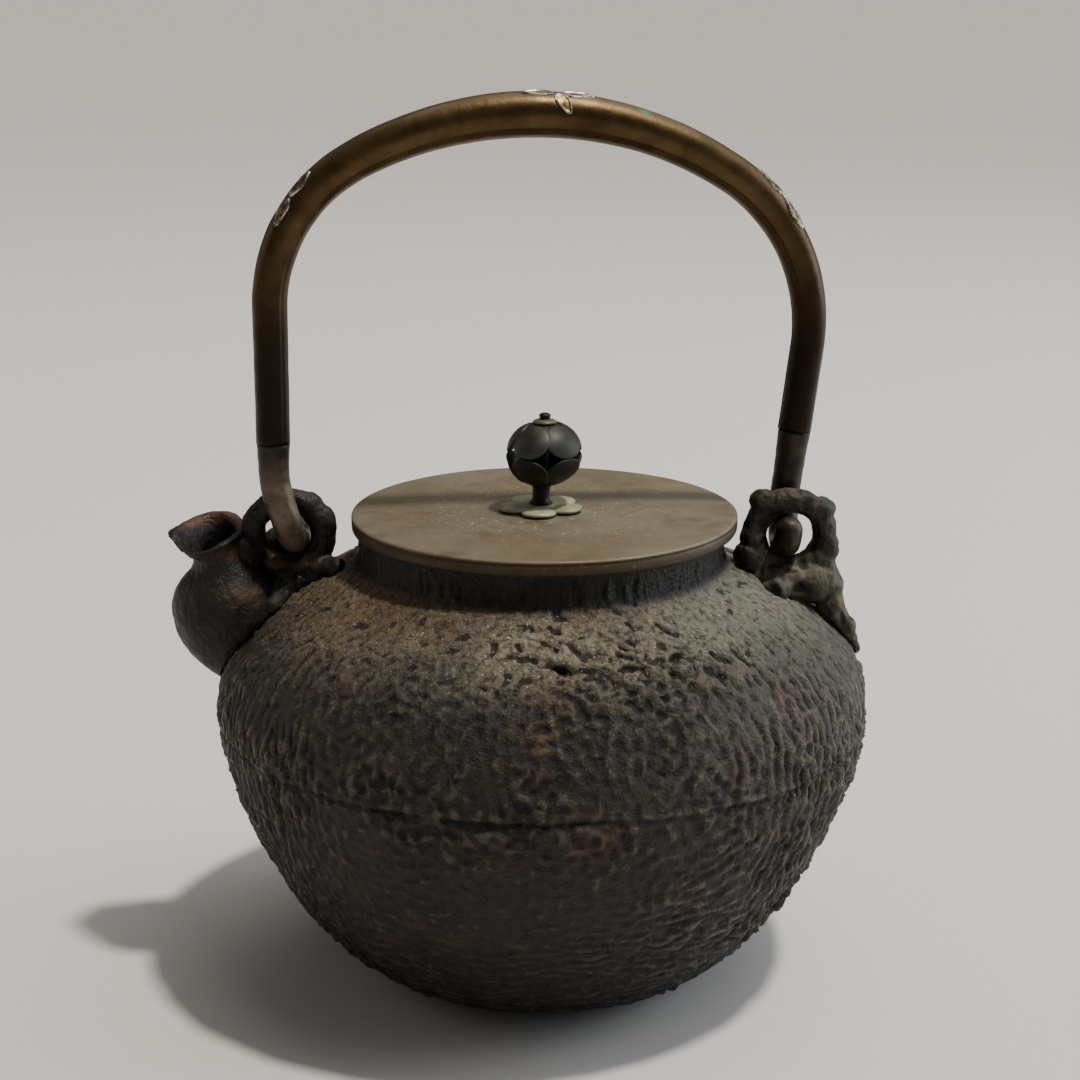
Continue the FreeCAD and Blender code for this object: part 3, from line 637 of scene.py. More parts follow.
def kettle_body():
    outer, inner, rim = cad_outline()
    skin = Skin(evenly(outer, RING_PITCH))
    front, z = skin.front, skin.z
    base = smoothstep(z, 1.0, 9.0)
    collar = smoothstep(z, 110.3, 112.0)
    under_lid = 1 - smoothstep(z, 116.5, 118.3)

    aside = smoothstep(np.abs(front), 20, 58)
    upright = np.clip(aside * 1.05 + 0.5 * skin.noise(22, 2, 11), 0, 1)
    level = smoothstep(46 - z, -8, 20) * (1 - 0.75 * aside) + 0.8 * skin.spot(-45, 22, 26, 18)
    level = np.clip(level + 0.5 * skin.noise(18, 2, 12), 0, 1) * (1 - 0.7 * upright)
    worms = worm_relief(skin, upright, level)
    right = smoothstep(front, 12, 50)
    left = smoothstep(front, -12, -62)
    quiet_belly = skin.spot(-96, 46, 38, 22)
    depth = 0.54 + 0.22 * right * smoothstep(z, 100, 82) + 0.08 * left
    depth = depth * (1 - 0.42 * quiet_belly) * (1 - 0.62 * smoothstep(z, 96, 106))
    depth = depth + 0.10 * skin.spot(-45, 24, 26, 16)
    depth = depth * (1 + 0.35 * np.clip(skin.noise(15, 2, 21), -1, 1)) * (1 - collar)
    grain = skin.noise(1.35, 2, 31, warp=0.4)
    uneven = 0.35 * skin.noise(34, 2, 1) + 0.14 * skin.noise(9, 2, 2)
    sandy = smoothstep(z, 86, 100) * (1 - 0.55 * right)
    pits = -0.55 * smoothstep(skin.noise(3.6, 2, 71), 0.62, 0.9) * smoothstep(z, 88, 100)
    combed = skin.noise((1.5, 1.5, 6.0), 3, 81)

    relief = worms * depth + landscape_relief(skin) + 1.6 * seam_relief(skin)
    relief = relief + (0.07 + 0.12 * sandy) * grain + 0.10 * sandy * skin.noise((3.0, 3.0, 1.6), 2, 33) + pits
    relief = relief * (1 - collar) + collar * (0.32 * combed + 0.12 * grain)
    shift = (relief * base + uneven * base * (1 - collar)) * under_lid - 0.1
    points = skin.points + skin.normals * shift[:, :, None]
    points[:, :, 2] = np.maximum(points[:, :, 2], 0.0)

    rim_ring = [(outer[-1, 0], rim - 0.25), (outer[-1, 0] - 0.4, rim), (inner[-1, 0] + 0.4, rim),
                (inner[-1, 0], rim - 0.25)]
    inside = np.vstack([rim_ring, evenly(inner[::-1], 4.0)])
    angle = np.radians(skin.azimuth)
    within = np.stack([inside[:, :1] * np.cos(angle), inside[:, :1] * np.sin(angle),
                       np.repeat(inside[:, 1:], COLUMNS, axis=1)], axis=-1)
    grid = np.concatenate([points, within])
    vertices = np.vstack([grid.reshape(-1, 3), [[0, 0, 0.0], [0, 0, inside[-1, 1]]]])
    obj = piece("kettle_body_skin", vertices, closed_faces(len(grid), COLUMNS), "kettle",
                MATERIALS["cast_iron"], ["kettle_body"])

    # the cavity drives both the paler rubbed ridges with their painted highlight and the painted shade in
    # hollows
    cavity = (relief - skin.blurred(relief, 1.8, 1.8)) / 0.5
    cavity = cavity + 0.4 * np.clip((relief - skin.blurred(relief, 5, 5)) / 0.8, -1.5, 1.5)
    shoulder = smoothstep(z, 92, 104) * (1 - smoothstep(z, 109.0, 111.5))
    # painted sheen: the right side of the body, from the belly up to the shoulder
    painted_right_sheen = smoothstep(front, 5, 70) * smoothstep(z, 40, 98) * (1 - collar)
    dust = shoulder * (0.70 + 0.25 * skin.noise(20, 3, 91)) + 0.03 * smoothstep(z, 50, 86) * (1 - shoulder)
    dust = dust * (1 - 0.25 * right)
    rust = 0.6 * skin.spot(-82, 64.5, 6, 4.5) + 0.6 * skin.spot(-85, 107.5, 7, 3)
    rust = rust + 0.9 * skin.spot(-138, 108, 22, 5)
    rust = rust + 0.3 * skin.spot(-92, 90, 4, 7) + 0.30 * smoothstep(skin.noise(12, 3, 95), 0.3, 0.9)
    # painted shade: darker towards the bottom, on the collar under the lid's edge, and inside the rim through
    # the pad
    painted_shade = smoothstep(52 - z, 0, 40) * 0.75 + 0.9 * collar
    fills = {"painted_shade": 0.7, "rust": 0.5}
    for name, field in (("dust", dust), ("relief", cavity), ("rust", rust), ("painted_shade", painted_shade), ("painted_right_sheen", painted_right_sheen)):
        pad = np.full(len(vertices) - z.size, fills.get(name, 0.0))
        set_field(obj, name, np.concatenate([np.clip(field, -2, 2).ravel(), pad]))


# ---------------------------------------------------------------- spout and lugs
def spout():
    vertices, normals, faces = remeshed(["spout"], 0.5, 6)
    mouth = np.array([-86.9, 0.0, 118.2])
    turn = np.arctan2(vertices[:, 1], -(vertices[:, 0] - mouth[0]))
    high = smoothstep(vertices[:, 2], 110.0, 117.5)
    tip = np.exp(-(turn / 0.5) ** 2)
    pull = np.zeros_like(vertices)
    pull[:, 0] = -1.3 * tip * high
    pull[:, 2] = high * (-0.4 * tip + 1.6 * bump(turn, 1.8, 0.6) - 3.4 * bump(turn, -1.25, 0.8))
    vertices = vertices + pull
    chip = smoothstep(fractal(vertices, 1.8, 2, 301), 0.0, 0.5) * high * bump(turn, -0.6, 0.5)
    vertices = vertices - normals * (0.9 * chip)[:, None]
    far_rim = 2.0 * high * bump(turn, 1.7, 1.1)
    vertices = vertices + normals * (0.30 * fractal(vertices, 9.0, 3, 302) + 0.30 * far_rim
                                     + 0.10 * fractal(vertices, 1.6, 2, 303))[:, None]
    obj = piece("spout_casting", vertices, faces, "kettle", MATERIALS["spout_iron"],
                ["spout"])
    lip = smoothstep(vertices[:, 2], 116.6, 118.2) * (0.2 + 0.7 * bump(turn, 1.3, 1.3))
    ridge = np.exp(-((vertices - [-77.5, -9.0, 114.0]) ** 2 / [5.0 ** 2, 4.0 ** 2, 1.5 ** 2]).sum(1))
    patch = np.exp(-((vertices - [-76.0, -13.0, 104.5]) ** 2 / [5.0 ** 2, 6.0 ** 2, 2.0 ** 2]).sum(1))
    set_field(obj, "dust", np.zeros(len(vertices)))
    set_field(obj, "painted_shade", np.zeros(len(vertices)))
    lip = lip * (1 + 0.5 * noise(vertices, 4.0, 304))
    set_field(obj, "rust", np.clip(lip + 0.9 * ridge + 0.5 * patch, 0, 1))


def lug(side, node, lumps, hollows, dusty):
    """A lug from its CAD node; hollows are (place, reach, depth) of cut branch ends."""
    vertices, normals, faces = remeshed([node], 0.42, 5, lumps)
    # dark marks painted shade in the hollows of the cut branch ends
    dark = np.zeros(len(vertices))
    for centre, reach, depth in hollows:
        vertices = swell(vertices, normals, centre, reach, -depth)
        gap = np.linalg.norm(vertices - np.asarray(centre, float), axis=1)
        dark = np.maximum(dark, smoothstep(reach * 1.25 - gap, 0, reach * 0.35))
    seed = 400 + side
    bark = 0.30 * fractal(vertices, 4.6, 2, seed) + 0.20 * fractal(vertices, 1.7, 3, seed + 7)
    cracks = -0.45 * smoothstep(noise(vertices, (2.2, 2.2, 5.0), seed + 3), 0.35, 0.8)
    vertices = vertices + normals * (bark + cracks)[:, None]
    obj = piece(node + "_casting", vertices, faces, "kettle", MATERIALS["lug_iron"], [node])
    up = np.clip(normals[:, 2], 0, 1)
    low = smoothstep(111.5 - vertices[:, 2], -1.5, 3.5)
    patchy = 0.75 + 0.6 * fractal(vertices, 2.6, 2, seed + 9)
    dust = dusty * np.clip((0.55 + 0.6 * up) * low + 0.22 * up + 0.20, 0, 1) * patchy
    rust = 0.55 * smoothstep(noise(vertices, 5.0, seed + 11), 0.25, 0.8)
    set_field(obj, "dust", np.clip(dust * (1 - dark), 0, 0.95))
    set_field(obj, "rust", np.clip(rust + 0.4 * smoothstep(up, 0.85, 1.0) * (1 - low), 0, 0.9))
    # painted shade in the hollows and along the cracks
    set_field(obj, "painted_shade", np.clip(dark + 0.8 * smoothstep(-cracks, 0.1, 0.4), 0, 1))


# ---------------------------------------------------------------- lid
LID_OFF_CENTRE = 0.9          # the loose lid sits a little to the right in its neck


def lid():
    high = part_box("lid_plate")[1].z / MM
    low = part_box("lid_plate")[0].z / MM
    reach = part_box("lid_plate")[1].x / MM
    groove = 0.18
    top = [(r, high - 0.12 * (r / reach) ** 2) for r in np.linspace(0, reach - 0.9, 24)]
    edge = [(reach - 0.45, high - 0.18), (reach - 0.14, high - 0.36), (reach - 0.02, high - 0.62),
            (reach, high - 0.95), (reach - groove, high - 1.08), (reach - groove, high - 1.28),
            (reach, high - 1.42), (reach, high - 2.4), (reach - 0.05, low + 0.6), (reach - 0.25, low + 0.2),
            (reach - 0.7, low)]
    under = [(r, low) for r in np.linspace(reach - 4, 0, 12)]
    vertices, faces = turned((top + edge + under)[::-1], 360)
    vertices = vertices + np.array([0, 0, 1.0]) * (0.05 * fractal(vertices, 24.0, 2, 501))[:, None]
    wavy = 1 + 0.0012 * noise(vertices, 16.0, 502) * (np.hypot(vertices[:, 0], vertices[:, 1]) > reach - 1)
    vertices[:, :2] *= wavy[:, None]
    vertices[:, 0] += LID_OFF_CENTRE
    piece("lid_disc", vertices, faces, "lid", MATERIALS["lid_bronze"], ["lid_plate"])


# ---------------------------------------------------------------- knob
BALL = {"radius": 9.75, "squash": 0.88, "height": 138.6}
BALL_LEAN = 1.0               # how far the ball stands to the right of its rosette
PETAL_AIMS = [-49.0 + 72 * i for i in range(5)]
ROSETTE_CLOCKING = -95
ROSETTE_REACH = 6.4           # petal middles from the axis
ROSETTE_LIFT = 0.012


def petal(azimuth, elevation, half_angle, sheet, tilt, rim):
    """One domed petal of the ball: a polar patch of sheet bulged about its own middle."""
    rows, columns = 15, 48
    a, e = math.radians(azimuth), math.radians(elevation)
    aim = np.array([math.cos(a) * math.cos(e), math.sin(a) * math.cos(e), math.sin(e)])
    side = np.array([-math.sin(a), math.cos(a), 0.0])
    rise = np.cross(aim, side)
    spin = np.linspace(0, 2 * math.pi, columns, endpoint=False)
    outside, inside = [], []
    for row in range(1, rows + 1):
        share = row / rows
        reach = math.radians(half_angle) * share
        toward = side[None, :] * np.cos(spin)[:, None] + rise[None, :] * np.sin(spin)[:, None]
        out = aim[None, :] * math.cos(reach) + toward * math.sin(reach)
        dome = 0.25 * (1 - share ** 2) + rim * math.exp(-((share - 0.95) / 0.07) ** 2)
        lean = tilt * share * np.cos(spin)
        round_off = 0.22 * smoothstep(share, 0.93, 1.0)
        outside.append(out * (BALL["radius"] + dome - round_off + lean)[:, None])
        inside.append(out * (BALL["radius"] + dome * 0.6 - sheet + round_off + lean)[:, None])
    grid = np.array(outside + inside[::-1])
    poles = [aim * (BALL["radius"] + 0.25), aim * (BALL["radius"] + 0.15 - sheet)]
    vertices = np.vstack([grid.reshape(-1, 3), poles])
    vertices = vertices * [1, 1, BALL["squash"]] + [0, 0, BALL["height"]]
    return vertices, closed_faces(len(grid), columns)


def joined(parts):
    vertices, faces, count = [], [], 0
    for v, f in parts:
        vertices.append(v)
        faces.extend(np.asarray(group) + count for group in f)
        count += len(v)
    return np.vstack(vertices), faces


def leaning(vertices):
    """The knob's ball stands a little to the right of its rosette."""
    vertices = vertices.copy()
    vertices[:, 0] += BALL_LEAN * smoothstep(vertices[:, 2], 126.5, 139.0)
    return vertices


def cup_core(sign, foot, radius):
    """Shallow cup of sheet that the petals of one half spring from."""
    rows = []
    for angle in np.radians(np.linspace(16, 40, 10)):
        rows.append(((BALL["radius"] - 0.5) * math.sin(angle),
                     BALL["height"] + sign * (BALL["radius"] - 0.5) * math.cos(angle) * BALL["squash"]))
    back = [(r - 0.5, z - sign * 0.8) for r, z in rows[::-1]]
    profile = [(0, foot)] + [(radius, foot)] + rows + back + [(0, foot - sign * 1.0)]
    return turned(profile[::-1] if sign > 0 else profile, 48)


def knob():
    for sign, name, rim in ((1, "upper", 0.0), (-1, "lower", 0.16)):
        parts = [petal(a, sign * 33.5, 34.0, 0.9, 0.22, rim) for a in PETAL_AIMS]
        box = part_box("knob_" + name + "_petals")
        foot = box[1].z / MM if sign > 0 else box[0].z / MM
        parts.append(cup_core(sign, foot, 2.4))
        vertices, faces = joined(parts)
        vertices[:, 2] = np.clip(vertices[:, 2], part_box("knob_lower_petals")[0].z / MM,
                                 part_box("knob_upper_petals")[1].z / MM)
        vertices = vertices + 0.05 * np.stack([noise(vertices, 3.0, 600 + i) for i in range(3)], axis=1)
        finish = MATERIALS["petal_upper" if sign > 0 else "petal_lower_shaded"]
        piece("knob_" + name + "_blossom", leaning(vertices), faces, "knob", finish,
              ["knob_" + name + "_petals"])
    rosette()
    for node, key in (("knob_stem", "petal_lower_shaded"), ("knob_cap_washer", "washer"),
                      ("knob_pin", "petal_lower_shaded")):
        low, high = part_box(node)
        r, a, b = high.x / MM, low.z / MM, high.z / MM
        if node == "knob_stem":
            profile = [(0, b), (r * 0.9, b), (r, b - 0.25), (r * 0.78, b - 0.9), (r * 0.71, b - 1.6),
                       (r * 0.71, a + 1.6), (r * 0.8, a + 0.8), (r, a + 0.2), (r * 0.9, a), (0, a)]
        elif node == "knob_cap_washer":
            profile = [(0, b + 0.5), (r * 0.45, b + 0.45), (r * 0.8, b + 0.18), (r, b - 0.2),
                       (r * 1.02, b - 0.4), (r * 0.9, a), (0, a)]
        else:
            profile = [(0, b + 0.3), (0.9, b + 0.2), (1.4, b - 0.05), (1.6, b - 0.4), (1.5, b - 0.8),
                       (1.3, b - 1.0), (1.3, a + 1.3), (2.2, a + 1.2), (2.2, a + 0.9), (1.5, a + 0.1), (0, a)]
        vertices, faces = turned(profile[::-1], 48)
        vertices = vertices + 0.04 * np.stack([noise(vertices, 2.0, 620 + i) for i in range(3)], axis=1)
        piece(node + "_turned", leaning(vertices), faces, "knob", MATERIALS[key], [node])


def rosette():
    """Five rounded petals of one sheet; their tips lift a little off the lid."""
    low, high = (corner.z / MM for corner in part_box("knob_rosette"))
    parts = []
    for i in range(5):
        a = math.radians(ROSETTE_CLOCKING + 72 * i)
        out = np.array([math.cos(a), math.sin(a)])
        side = np.array([-out[1], out[0]])
        rows, columns = 10, 40
        spin = np.linspace(0, 2 * math.pi, columns, endpoint=False)
        top, bottom = [], []
        for row in range(1, rows + 1):
            share = row / rows
            along = ROSETTE_REACH + 4.75 * share * np.cos(spin)
            across = 5.0 * share * np.sin(spin) * (0.9 + 0.1 * np.cos(spin))
            lift = ROSETTE_LIFT * np.maximum(along - 3, 0) ** 1.5
            edge = 0.28 * smoothstep(share, 0.86, 1.0)
            flat = out[None, :] * along[:, None] + side[None, :] * across[:, None]
            dish = 0.42 * (1 - share ** 2)
            top.append(np.column_stack([flat, low + 0.35 + lift + 0.75 + dish - edge]))
            bottom.append(np.column_stack([flat, low + 0.05 + lift + dish * 0.5 + edge]))
        grid = np.array(top + bottom[::-1])
        centre = out * ROSETTE_REACH
        rise = ROSETTE_LIFT * 3.4 ** 1.5
        poles = [[*centre, low + 0.35 + rise + 0.75 + 0.3], [*centre, low + 0.05 + rise + 0.15]]
        vertices = np.vstack([grid.reshape(-1, 3), poles])
        parts.append((vertices, closed_faces(len(grid), columns)))
    parts.append(turned([(0, low), (4.8, low), (5.1, low + 0.3), (4.8, high - 0.2), (0, high)], 48))
    vertices, faces = joined(parts)
    vertices = vertices + [0, 0, 1.0] * (0.10 * fractal(vertices, 4.0, 2, 640))[:, None]
    vertices[:, 2] = np.maximum(vertices[:, 2], low)
    piece("knob_rosette_petals", vertices, faces, "knob", MATERIALS["rosette_bronze"],
          ["knob_rosette"])


# ---------------------------------------------------------------- bail handle
ARCH_TOP = 224.5
ARCH_SHIFT = -2.5
CROWN_BEND = 94.0
CROWN_SWEEP = {-1: 27.5, 1: 33.0}
HAUNCH_BEND = {-1: 41.5, 1: 46.5}
LEG_FOOT = {-1: 68.2, 1: 64.9}
LEG_FOOT_HEIGHT = 131.0
HOOK_LOOP = 7.75
HANDLE_TURN = math.atan2(HOOK_LOOP, LEG_FOOT[1])
TUBE_END = 143.0
TUBE_CROWN_RADIUS = 5.8
TUBE_END_RADIUS = 4.3
TUBE_WALL = 1.2


class Haunch:
    """One side of the arch: crown arc, tighter haunch arc and straight leg."""

    def __init__(self, side):
        self.side = side
        self.sweep = math.radians(CROWN_SWEEP[side])
        self.bend = HAUNCH_BEND[side]
        self.shift = ARCH_SHIFT * side
        self.reach = self.shift + (CROWN_BEND - self.bend) * math.sin(self.sweep)
        self.height = ARCH_TOP - CROWN_BEND + (CROWN_BEND - self.bend) * math.cos(self.sweep)
        out = LEG_FOOT[side] / math.cos(HANDLE_TURN) - self.reach
        drop = self.height - LEG_FOOT_HEIGHT
        self.lean = math.atan2(drop, out) - math.acos(self.bend / math.hypot(out, drop))
        self.full = math.pi / 2 + self.lean

    def arc(self, angle):
        if angle <= self.sweep:
            return (self.side * (self.shift + CROWN_BEND * math.sin(angle)),
                    ARCH_TOP - CROWN_BEND + CROWN_BEND * math.cos(angle))
        return (self.side * (self.reach + self.bend * math.sin(angle)),
                self.height + self.bend * math.cos(angle))

    def leg(self, height):
        u, z = self.arc(self.full)
        return u - self.side * (z - height) * math.tan(self.lean), height


def in_arch(u, z, v=0.0):
    """A point of the arch's own plane in the row frame."""
    return np.array([u * math.cos(HANDLE_TURN) - v * math.sin(HANDLE_TURN),
                     u * math.sin(HANDLE_TURN) + v * math.cos(HANDLE_TURN), z])


def arch_line(pitch):
    """Points of the tube's centreline from its left end to its right end, at an even pitch."""
    fine = []
    for side in (-1, 1):
        haunch = Haunch(side)
        half = [in_arch(*haunch.arc(a)) for a in np.linspace(0, haunch.full, 240)]
        foot = haunch.arc(haunch.full)[1]
        half += [in_arch(*haunch.leg(z)) for z in np.linspace(foot, TUBE_END, 40)[1:]]
        fine.append(half)
    line = np.array(fine[0][::-1] + fine[1][1:])
    along = np.concatenate([[0], np.cumsum(np.linalg.norm(np.diff(line, axis=0), axis=1))])
    at = np.linspace(0, along[-1], int(along[-1] / pitch))
    return np.stack([np.interp(at, along, line[:, i]) for i in range(3)], axis=1), at


def handle():
    """The rolled tube, closed ring to ring at both ends so that it is one hollow solid."""
    centres, along = arch_line(0.9)
    tangents = np.gradient(centres, axis=0)
    crown = along[np.argmax(centres[:, 2])]
    share = np.where(along < crown, (crown - along) / crown, (along - crown) / (along[-1] - crown))
    radii = TUBE_CROWN_RADIUS + (TUBE_END_RADIUS - TUBE_CROWN_RADIUS) * np.sin(math.pi / 2 * share)
    columns = 72
    plane = in_arch(0, 0, 1.0)
    rings, out = swept(centres, tangents, radii, columns, plane)
    rows = len(centres)
    flat, normals = rings.reshape(-1, 3), out.reshape(-1, 3)
    heart = np.array([0, 0, ARCH_TOP - CROWN_BEND])
    inward = heart[None, :] - centres
    inward = inward - (inward * tangents).sum(1)[:, None] * tangents / (tangents ** 2).sum(1)[:, None]
    inward = inward / np.linalg.norm(inward, axis=1)[:, None]
    facing = (out * inward[:, None, :]).sum(-1).ravel()
    off_seam = np.degrees(np.arccos(np.clip(facing, -1, 1)))
    relief = 0.10 * noise(flat, 13.0, 701) + 0.05 * noise(flat, 4.5, 702)
    relief = relief - 0.32 * bump(off_seam, 0, 5.0) + 0.10 * bump(off_seam, 12, 6)
    relief = relief + 0.16 * bump(off_seam, 57, 4) - 0.20 * bump(off_seam, 49, 5)
    outside = flat + normals * relief[:, None]
    bore = (centres[:, None, :] + out * (radii - TUBE_WALL)[:, None, None])[::-1]
    loop = np.vstack([outside, bore.reshape(-1, 3)])
    j = np.arange(columns)
    k = (j + 1) % columns
    last = (2 * rows - 1) * columns
    quads = [grid_faces(2 * rows, columns), np.stack([last + j, last + k, k, j], axis=-1)]
    obj = piece("handle_tube_rolled", loop, quads, "handle", MATERIALS["handle_bronze"],
                ["handle_tube"])
    up = normals[:, 2]
    # painted highlight: the upward-facing top of the tube, passed on in the field
    worn_and_highlit = smoothstep(up, 0.35, 0.95) * (0.75 + 0.5 * noise(flat, 9.0, 703))
    spot = np.exp(-((flat - (in_arch(27.5, 226.0) + [0, -3.0, 0])) ** 2 / [2.6 ** 2, 9.0, 1.6 ** 2]).sum(1))
    green = smoothstep(spot + 0.25 * noise(flat, 1.6, 704), 0.35, 0.65)
    pad = np.zeros(len(loop) - len(flat))
    set_field(obj, "wear_and_highlight", np.concatenate([np.clip(worn_and_highlit, 0, 1), pad]))
    set_field(obj, "verdigris", np.concatenate([green, pad]))


PIVOT_HEIGHT = 126.1
HOOK_DROP = 2.0
HOOK_REACH = {-1: 65.9, 1: 64.3}
HOOK_LEAN = {-1: 12.0, 1: 4.0}
HOOK_WRAP = 156.0
HOOK_SAG = {-1: 0.6, 1: 1.9}  # the loops are a little longer than round


def hook(side, node):
    """Solid hook: spigot in the tube, shank, and a loop that ends in a blunt rounded tip."""
    haunch = Haunch(side)
    shank = [in_arch(*haunch.leg(z)) for z in np.linspace(TUBE_END, LEG_FOOT_HEIGHT, 14)]
    centre = np.array([side * HOOK_REACH[side], 0, PIVOT_HEIGHT - HOOK_DROP])
    lean = math.radians(HOOK_LEAN[side])
    low = np.array([-side * math.sin(lean), 0, -math.cos(lean)])
    front = np.array([0, side, 0])
    loop = []
    for turn in np.radians(np.linspace(0, HOOK_WRAP, 40)):
        sag = HOOK_SAG[side] * smoothstep(math.sin(turn), 0.2, 1.0)
        loop.append(centre + (front * math.cos(turn) + low * math.sin(turn)) * HOOK_LOOP + low * sag)
    line = np.array(shank + loop)
    for _ in range(6):
        line[1:-1] = 0.5 * line[1:-1] + 0.25 * (line[:-2] + line[2:])
    along = np.concatenate([[0], np.cumsum(np.linalg.norm(np.diff(line, axis=0), axis=1))])
    tip = along[-1] + 2.6
    line = np.vstack([line, line[-1] + (line[-1] - line[-2]) / (along[-1] - along[-2]) * 2.6])
    along = np.append(along, tip)
    at = np.concatenate([np.linspace(0, tip - 3.4, 110), tip - 3.4 * np.cos(np.linspace(0.1, 1.5, 14))])
    centres = np.stack([np.interp(at, along, line[:, i]) for i in range(3)], axis=1)
    radii = np.interp(at, [0, 0.4, 7.0, 14.0, tip - 8, tip], [4.1, 4.2, 3.95, 3.85, 3.75, 3.45])
    radii = radii * np.sqrt(np.clip(1 - ((at - (tip - 3.4)).clip(0) / 3.45) ** 2, 0.01, 1))
    spigot = np.array([in_arch(*haunch.leg(z)) for z in (TUBE_END + 13, TUBE_END + 5, TUBE_END + 0.05)])
    centres = np.vstack([spigot, centres])
    radii = np.concatenate([[2.8, 2.85, 2.85], radii])
    tangents = np.gradient(centres, axis=0)
    rings, out = swept(centres, tangents, radii, 48, np.array([1.0, 0, 0]))
    flat, normals = rings.reshape(-1, 3), out.reshape(-1, 3)
    pulled = 0.14 * noise(flat, 6.0, 720) + 0.06 * fractal(flat, 2.0, 2, 721)
    flat = flat + normals * (pulled * smoothstep(TUBE_END + 0.02 - flat[:, 2], 0, 0.5))[:, None]
    vertices = np.vstack([flat, centres[:1], centres[-1:]])
    obj = piece(node + "_forged", vertices, closed_faces(len(centres), 48), "handle",
                MATERIALS["hook_bronze"], [node])
    right_of = np.append(normals[:, 0], [0, 0])
    worn_and_highlit = smoothstep(TUBE_END - 1 - vertices[:, 2], 0.0, 16.0)
    worn_and_highlit = worn_and_highlit * (0.85 if side < 0 else 0.10) * (0.7 + 0.3 * right_of)
    set_field(obj, "wear_and_highlight", np.clip(worn_and_highlit + 0.12 * np.append(noise(flat, 3.0, 722), [0, 0]), 0, 1))
    set_field(obj, "rust", np.clip(-0.8 * right_of, 0, 1) * worn_and_highlit)


# Inlays of wire and leaf on the tube: degrees round the arch, lift from the front towards the
# outside, and leaves as (angle, length, width)
INLAYS = {
    "inlay_top": (3.4, 66.0, [(4, 10.0, 2.6), (176, 9.0, 2.6), (-58, 7.0, 3.4)]),
    "inlay_left": (-52.0, 54.0, [(6, 8.5, 3.0), (186, 8.0, 3.2)]),
    "inlay_right": (48.5, 66.0, [(-8, 10.0, 3.2), (174, 9.5, 3.0)]),
}


def inlay(node, angle, lift, leaves):
    """Leaves of a raised silver rim round a gilt field, let into the tube."""
    haunch = Haunch(-1 if angle < 0 else 1)
    turn = math.radians(abs(angle))
    u, z = haunch.arc(turn)
    share = 0.82 * turn / haunch.full
    radius = TUBE_CROWN_RADIUS + (TUBE_END_RADIUS - TUBE_CROWN_RADIUS) * math.sin(math.pi / 2 * share)
    bend = CROWN_BEND if turn <= haunch.sweep else haunch.bend
    signed = math.radians(angle)
    along = in_arch(math.cos(signed), -math.sin(signed))
    outside = in_arch(math.sin(signed), math.cos(signed))
    front = in_arch(0, 0, -1.0)
    parts, rims = [], []
    for number, (heading, length, width) in enumerate(leaves):
        heading = math.radians(heading)
        rows, columns = 12, 40
        spin = np.linspace(0, 2 * math.pi, columns, endpoint=False)
        shares = np.linspace(1 / rows, 1, rows)[:, None]
        run = length / 2 + length / 2 * shares * np.cos(spin)
        half = width / 2 * np.sin(spin) * (0.72 + 0.28 * np.abs(np.sin(spin)))
        half = half * (1 + 0.18 * np.sin(3 * spin + number)) * shares
        s = run * math.cos(heading) - half * math.sin(heading)
        t = run * math.sin(heading) + half * math.cos(heading)
        high = 0.10 + 0.28 * np.exp(-((shares - 0.84) / 0.11) ** 2) + 0 * run
        high = np.where(shares > 0.96, -0.35, high)
        s = np.append(s.ravel(), length / 2 * math.cos(heading))
        t = np.append(t.ravel(), length / 2 * math.sin(heading))
        high = np.append(high.ravel(), 0.10)
        bottom = np.full(len(s), -0.6)
        points = []
        for level in (high, bottom):
            round_tube = math.radians(lift) + t / radius
            out = front * np.cos(round_tube)[:, None] + outside * np.sin(round_tube)[:, None]
            swing = s / bend
            drop = bend * (1 - np.cos(swing))
            middle = in_arch(u, z) + along * (bend * np.sin(swing))[:, None] - outside * drop[:, None]
            points.append(middle + out * (radius + level)[:, None])
        top, under = points
        count = rows * columns
        rim_top = np.arange((rows - 1) * columns, count)
        rim_next = np.roll(rim_top, -1)
        wall = np.stack([rim_top, rim_next, rim_next + count + 1, rim_top + count + 1], axis=-1)
        up_faces = [grid_faces(rows, columns), fan(0, columns, count, True)]
        down_faces = [np.flip(f, axis=1) + count + 1 for f in up_faces]
        parts.append((np.vstack([top, under]), up_faces + down_faces + [wall]))
        rims.append(np.append(np.repeat(smoothstep(shares[:, 0], 0.62, 0.74), columns), 0))
        rims.append(np.zeros(count + 1))
    vertices, faces = joined(parts)
    obj = piece(node + "_leaves", vertices, faces, "handle", MATERIALS["silver_inlay"],
                [node])
    set_field(obj, "rim", np.concatenate(rims))


# ---------------------------------------------------------------- stage
FLOOR_HALF = 400.0            # metres, so that the floor's far edge is out of sight


def stage():
    mesh = bpy.data.meshes.new("floor")
    half = FLOOR_HALF
    mesh.from_pydata([(-half, -half, 0), (half, -half, 0), (half, half, 0), (-half, half, 0)], [],
                     [(0, 1, 2, 3)])
    floor = bpy.data.objects.new("floor", mesh)
    bpy.context.scene.collection.objects.link(floor)
    f = Finish("pale_floor", specular=0.2)
    mesh.materials.append(f.finish(srgb(222, 219, 216), 0.85))


def lamp(name, kind, place, aim, watts, colour, **shape):
    data = bpy.data.lights.new(name, kind)
    data.energy = watts
    data.color = colour
    for key, value in shape.items():
        setattr(data, key, value)
    obj = bpy.data.objects.new(name, data)
    bpy.context.scene.collection.objects.link(obj)
    obj.location = place
    obj.rotation_mode = "QUATERNION"
    obj.rotation_quaternion = (Vector(aim) - Vector(place)).to_track_quat("-Z", "Y")


